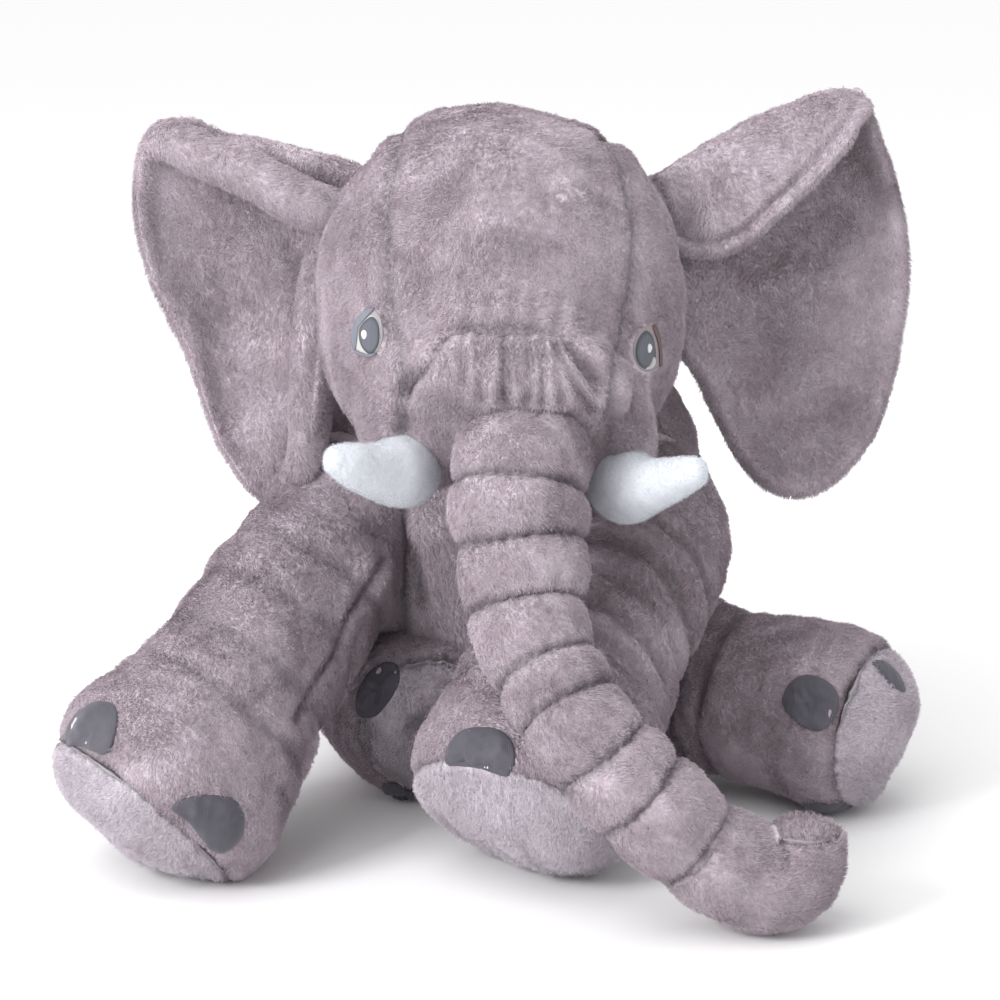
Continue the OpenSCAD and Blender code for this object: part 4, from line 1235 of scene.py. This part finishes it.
for name, outline, fold, cen, fcen, piv, sg in ears:
    def front(r, x, z, e, sg=sg):
        u = np.clip((np.abs(x) - 110) / 130, 0, 1)
        dish = 17 * (1 - r ** 2.2)
        lower = np.clip((360 - z) / 70, 0, 1)
        innr = np.clip((140 - np.abs(x)) / 26, 0, 1) * (1 if sg < 0 else 0.0)
        rim = -(5 + 13 * lower * innr) * bell(e - 12, 8 + 5 * innr) + 3.5 * innr * bell(e - 34, 8)
        round_ = 9 * (1 - np.clip(e / 8, 0, 1)) ** 2
        dent = 1.8 * np.cos(x * 0.09 + z * 0.05) * (1 - r) + 1.6 * np.cos(x * 0.03 - z * 0.11 + 1) * (1 - r)
        return 27 + dish + rim + round_ + 4 * np.sin(u * 3.0) - 4 + dent

    def back(r, x, z, e):
        dish = 15 * (1 - r ** 2.2)
        round_ = -9 * (1 - np.clip(e / 9, 0, 1)) ** 2
        return 27 + dish + 18 + round_ + 5 * (1 - r ** 4)

    s, nF, B = pillow(outline, cen, 300, 60, front, back, sg, piv)
    e_all = None
    s.V[:, 1] += 2.0 * waves(s.V * [1, 0, 1], 80, 21 + sg) + 0.9 * waves(s.V * [1, 0, 1], 28, 23 + sg)
    s.V = swing(s.V, piv, sg * 10)
    inner = s.V.mean(0)
    N_ = s.normals()
    if N_[:nF, 1].mean() > 0:
        s.Q, s.T = s.Q[:, ::-1], s.T[:, ::-1]
    if fold is not None:
        # painted shade on the ear pad under the fold's lower edge
        lw = np.array(fold[FOLD_TOP[name] - 1:-1], float)
        qq = swing(s.V, piv, -sg * 10)[:, [0, 2]]
        dd = np.full(len(qq), 1e9)
        for a_, b_ in zip(lw[:-1], lw[1:]):
            ab_ = b_ - a_
            tt = np.clip(((qq - a_) @ ab_) / (ab_ @ ab_), 0, 1)
            dd = np.minimum(dd, np.linalg.norm(qq - a_ - tt[:, None] * ab_, axis=1))
        s.seam = np.maximum(s.seam, 0.8 * bell(dd, 13))
    s.nap = unit(np.column_stack([np.full(len(s.V), 0.25 * sg), np.full(len(s.V), -0.1), np.full(len(s.V), -1.0)])) + 0.45 * np.column_stack([waves(s.V, 60, 81 + sg), waves(s.V, 60, 83 + sg), waves(s.V, 60, 85 + sg)])
    o = add(name + "_pad", s, PLUSH, blend=("head", name, (piv[0] - 8 * sg, piv[1], piv[2]), (piv[0] + 34 * sg, piv[1] + 4, piv[2])),
            replaces=(name + "_batting", name + "_back_panel", name + "_front_panel"), inset=1.8)
    fur(o)

    if fold is None:
        # the right ear's top is rolled forward into a soft tube
        P = [[*put(u, v, y), r] for u, v, y, r in ((143,146,52,5),(150,146,50,9),(166,143,44,12),(190,149,36,13),(222,161,25,14),(256,177,16,14.5),(290,194,9,15),(316,205,6,15),(338,212,10,14),(352,214,18,10))]
        s = loft(P, 1.2, 90, (0, 1, 0), lambda T, A, S, R: 0.5 * np.sin(A * 3 + S * 0.05) + 0.8 * np.sin(S * 0.09 + A), cap=True)
        # and its inner edge rolls forward on the way down
        P2 = [[*put(u, v, y), r] for u, v, y, r in ((332,236,36,6),(325,252,33,9),(317,278,29,10.5),(313,310,26,11),(310,345,24,11.5),(309,382,23,12),(309,418,23,12),(306,448,24,12),(299,472,26,11.5),(290,489,29,9),(283,496,32,5))]
        s2 = loft(P2, 1.2, 80, (0, 1, 0), lambda T, A, S, R: 0.6 * np.sin(A * 2 + S * 0.06), cap=True)
        nap2 = s2.nap
        s1 = s
        s = merge([s1, s2])
        s.nap = np.vstack([s1.nap, nap2])
        s.push(0.9 * waves(s.V, 40, 61) + 0.5 * waves(s.V, 15, 62))
        s.nap = s.nap * 0.3 + np.array([0.3, -0.2, -0.8]) + 0.4 * np.column_stack([waves(s.V, 50, 91), waves(s.V, 50, 92), waves(s.V, 50, 93)])
        o = add(name + "_fold", s, PLUSH, blend=("head", name, (piv[0] - 8 * sg, piv[1], piv[2]), (piv[0] + 34 * sg, piv[1] + 4, piv[2])),
                inset=1.4)
        fur(o)
        continue
    nt = FOLD_TOP[name]
    top = np.array(fold[:nt], float)
    low = np.array(fold[nt - 1:] + fold[:1], float)

    def near(L, x, z):
        q = np.stack([x, z], 1)
        best = np.full(len(q), 1e9)
        for a, b in zip(L[:-1], L[1:]):
            ab = b - a
            t = np.clip(((q - a) @ ab) / (ab @ ab), 0, 1)
            best = np.minimum(best, np.linalg.norm(q - a - t[:, None] * ab, axis=1))
        return best

    def mid_y(x, z):
        dt, dl = near(top, x, z), near(low, x, z)
        w = dt / np.maximum(dt + dl, 1e-6)
        reach = np.clip((np.abs(x) - 92) / 30, 0.5, 1)
        return 29 - 33 * np.sin(w * math.pi / 2) * reach * np.clip((dt + dl) / 30, 0, 1), dl

    def ff(r, x, z, e):
        m, dl = mid_y(x, z)
        lip = 4.0 * bell(dl - 4, 4.5) - 3.2 * bell(dl - 11, 2.4)
        return m - 7.5 * np.sqrt(np.clip(1 - r ** 9, 0, 1)) - lip * (r < 0.999)

    def fb(r, x, z, e):
        m, dl = mid_y(x, z)
        return m + 6.5 * np.sqrt(np.clip(1 - r ** 9, 0, 1))

    s, nF, B = pillow(fold, fcen, 260, 44, ff, fb, sg, piv)
    s.V[:, 1] += 1.4 * waves(s.V * [1, 0, 1], 50, 25 + sg) + 0.7 * waves(s.V * [1, 0, 1], 20, 27 + sg)
    s.V = swing(s.V, piv, sg * 10)
    if s.normals()[:nF, 1].mean() > 0:
        s.Q, s.T = s.Q[:, ::-1], s.T[:, ::-1]
    s.nap = unit(np.column_stack([np.full(len(s.V), 0.5 * sg), np.full(len(s.V), -0.1), np.full(len(s.V), -1.0)])) + 0.45 * np.column_stack([waves(s.V, 60, 91 + sg), waves(s.V, 60, 93 + sg), waves(s.V, 60, 95 + sg)])
    o = add(name + "_fold", s, PLUSH, blend=("head", name, (piv[0] - 8 * sg, piv[1], piv[2]), (piv[0] + 34 * sg, piv[1] + 4, piv[2])),
            inset=1.4)
    fur(o)

# ------------------------------------------------------------------ tail
s = loft(tail, 1.3, 72, (1, 0, 0), None, cap=True, t0=0.3)
s.push(0.6 * waves(s.V, 22, 19))
s.fur *= s.t > 0.7
o = add("tail_cover", s, PLUSH, blend=("torso", "tail", (0, 224, 92), (0, 244, 82)), replaces=("tail_skin", "tail_filling"), inset=1.2)
fur(o)

# ------------------------------------------------------------------ stage, light, camera
me = bpy.data.meshes.new("floor")
me.from_pydata([(-14, -8, 0), (14, -8, 0), (14, 24, 0), (-14, 24, 0)], [], [(0, 1, 2, 3)])
floor = bpy.data.objects.new("floor", me)
scene.collection.objects.link(floor)


def floor_build(nt, b):
    b.inputs["Base Color"].default_value = (0.97, 0.97, 0.975, 1)
    b.inputs["Roughness"].default_value = 0.7
    sock(b, "Specular IOR Level", 0.1)


me.materials.append(material("pale floor", floor_build))
floor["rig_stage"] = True

world = bpy.data.worlds.new("studio")
scene.world = world
world.use_nodes = True
world.node_tree.nodes["Background"].inputs[0].default_value = (1.0, 1.0, 1.0, 1)
world.node_tree.nodes["Background"].inputs[1].default_value = 0.70


def lamp(name, loc, target, size, power, col=(1, 1, 1)):
    l = bpy.data.lights.new(name, "AREA")
    l.energy = power
    l.size = size
    l.color = col
    o = bpy.data.objects.new(name, l)
    o.location = loc
    o.rotation_euler = (Vector(target) - Vector(loc)).to_track_quat("-Z", "Y").to_euler()
    scene.collection.objects.link(o)
    return o


lamp("key", (-1.7, -1.6, 1.3), (0, 0, 0.2), 0.8, 40)
lamp("fill", (1.6, -1.8, 1.0), (0, 0, 0.2), 1.6, 3)
lamp("top", (0.2, 0.6, 2.2), (0, 0, 0.2), 1.4, 6)
sun = bpy.data.lights.new("sky", "SUN")
sun.energy = 1.15
sun.angle = math.radians(50)
so = bpy.data.objects.new("sky", sun)
so.rotation_euler = (Vector((0, 0, 0)) - Vector((-1.0, -1.1, 2.4))).to_track_quat("-Z", "Y").to_euler()
scene.collection.objects.link(so)

cam = bpy.data.cameras.new("front")
cam.lens = 110.32
cam.sensor_width = 36
co = bpy.data.objects.new("front", cam)
co.location = (0.0015, -1.86606, 0.65965)
co.rotation_euler = (math.radians(76), 0, 0)
scene.collection.objects.link(co)
scene.camera = co
scene.view_settings.view_transform = "Standard"
scene.view_settings.look = "None"

for ob in scene.objects:
    if ob.type == "MESH" and "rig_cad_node" in ob and len(ob.data.materials) == 0:
        ob.data.materials.append(HIDDEN)

lo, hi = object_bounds()
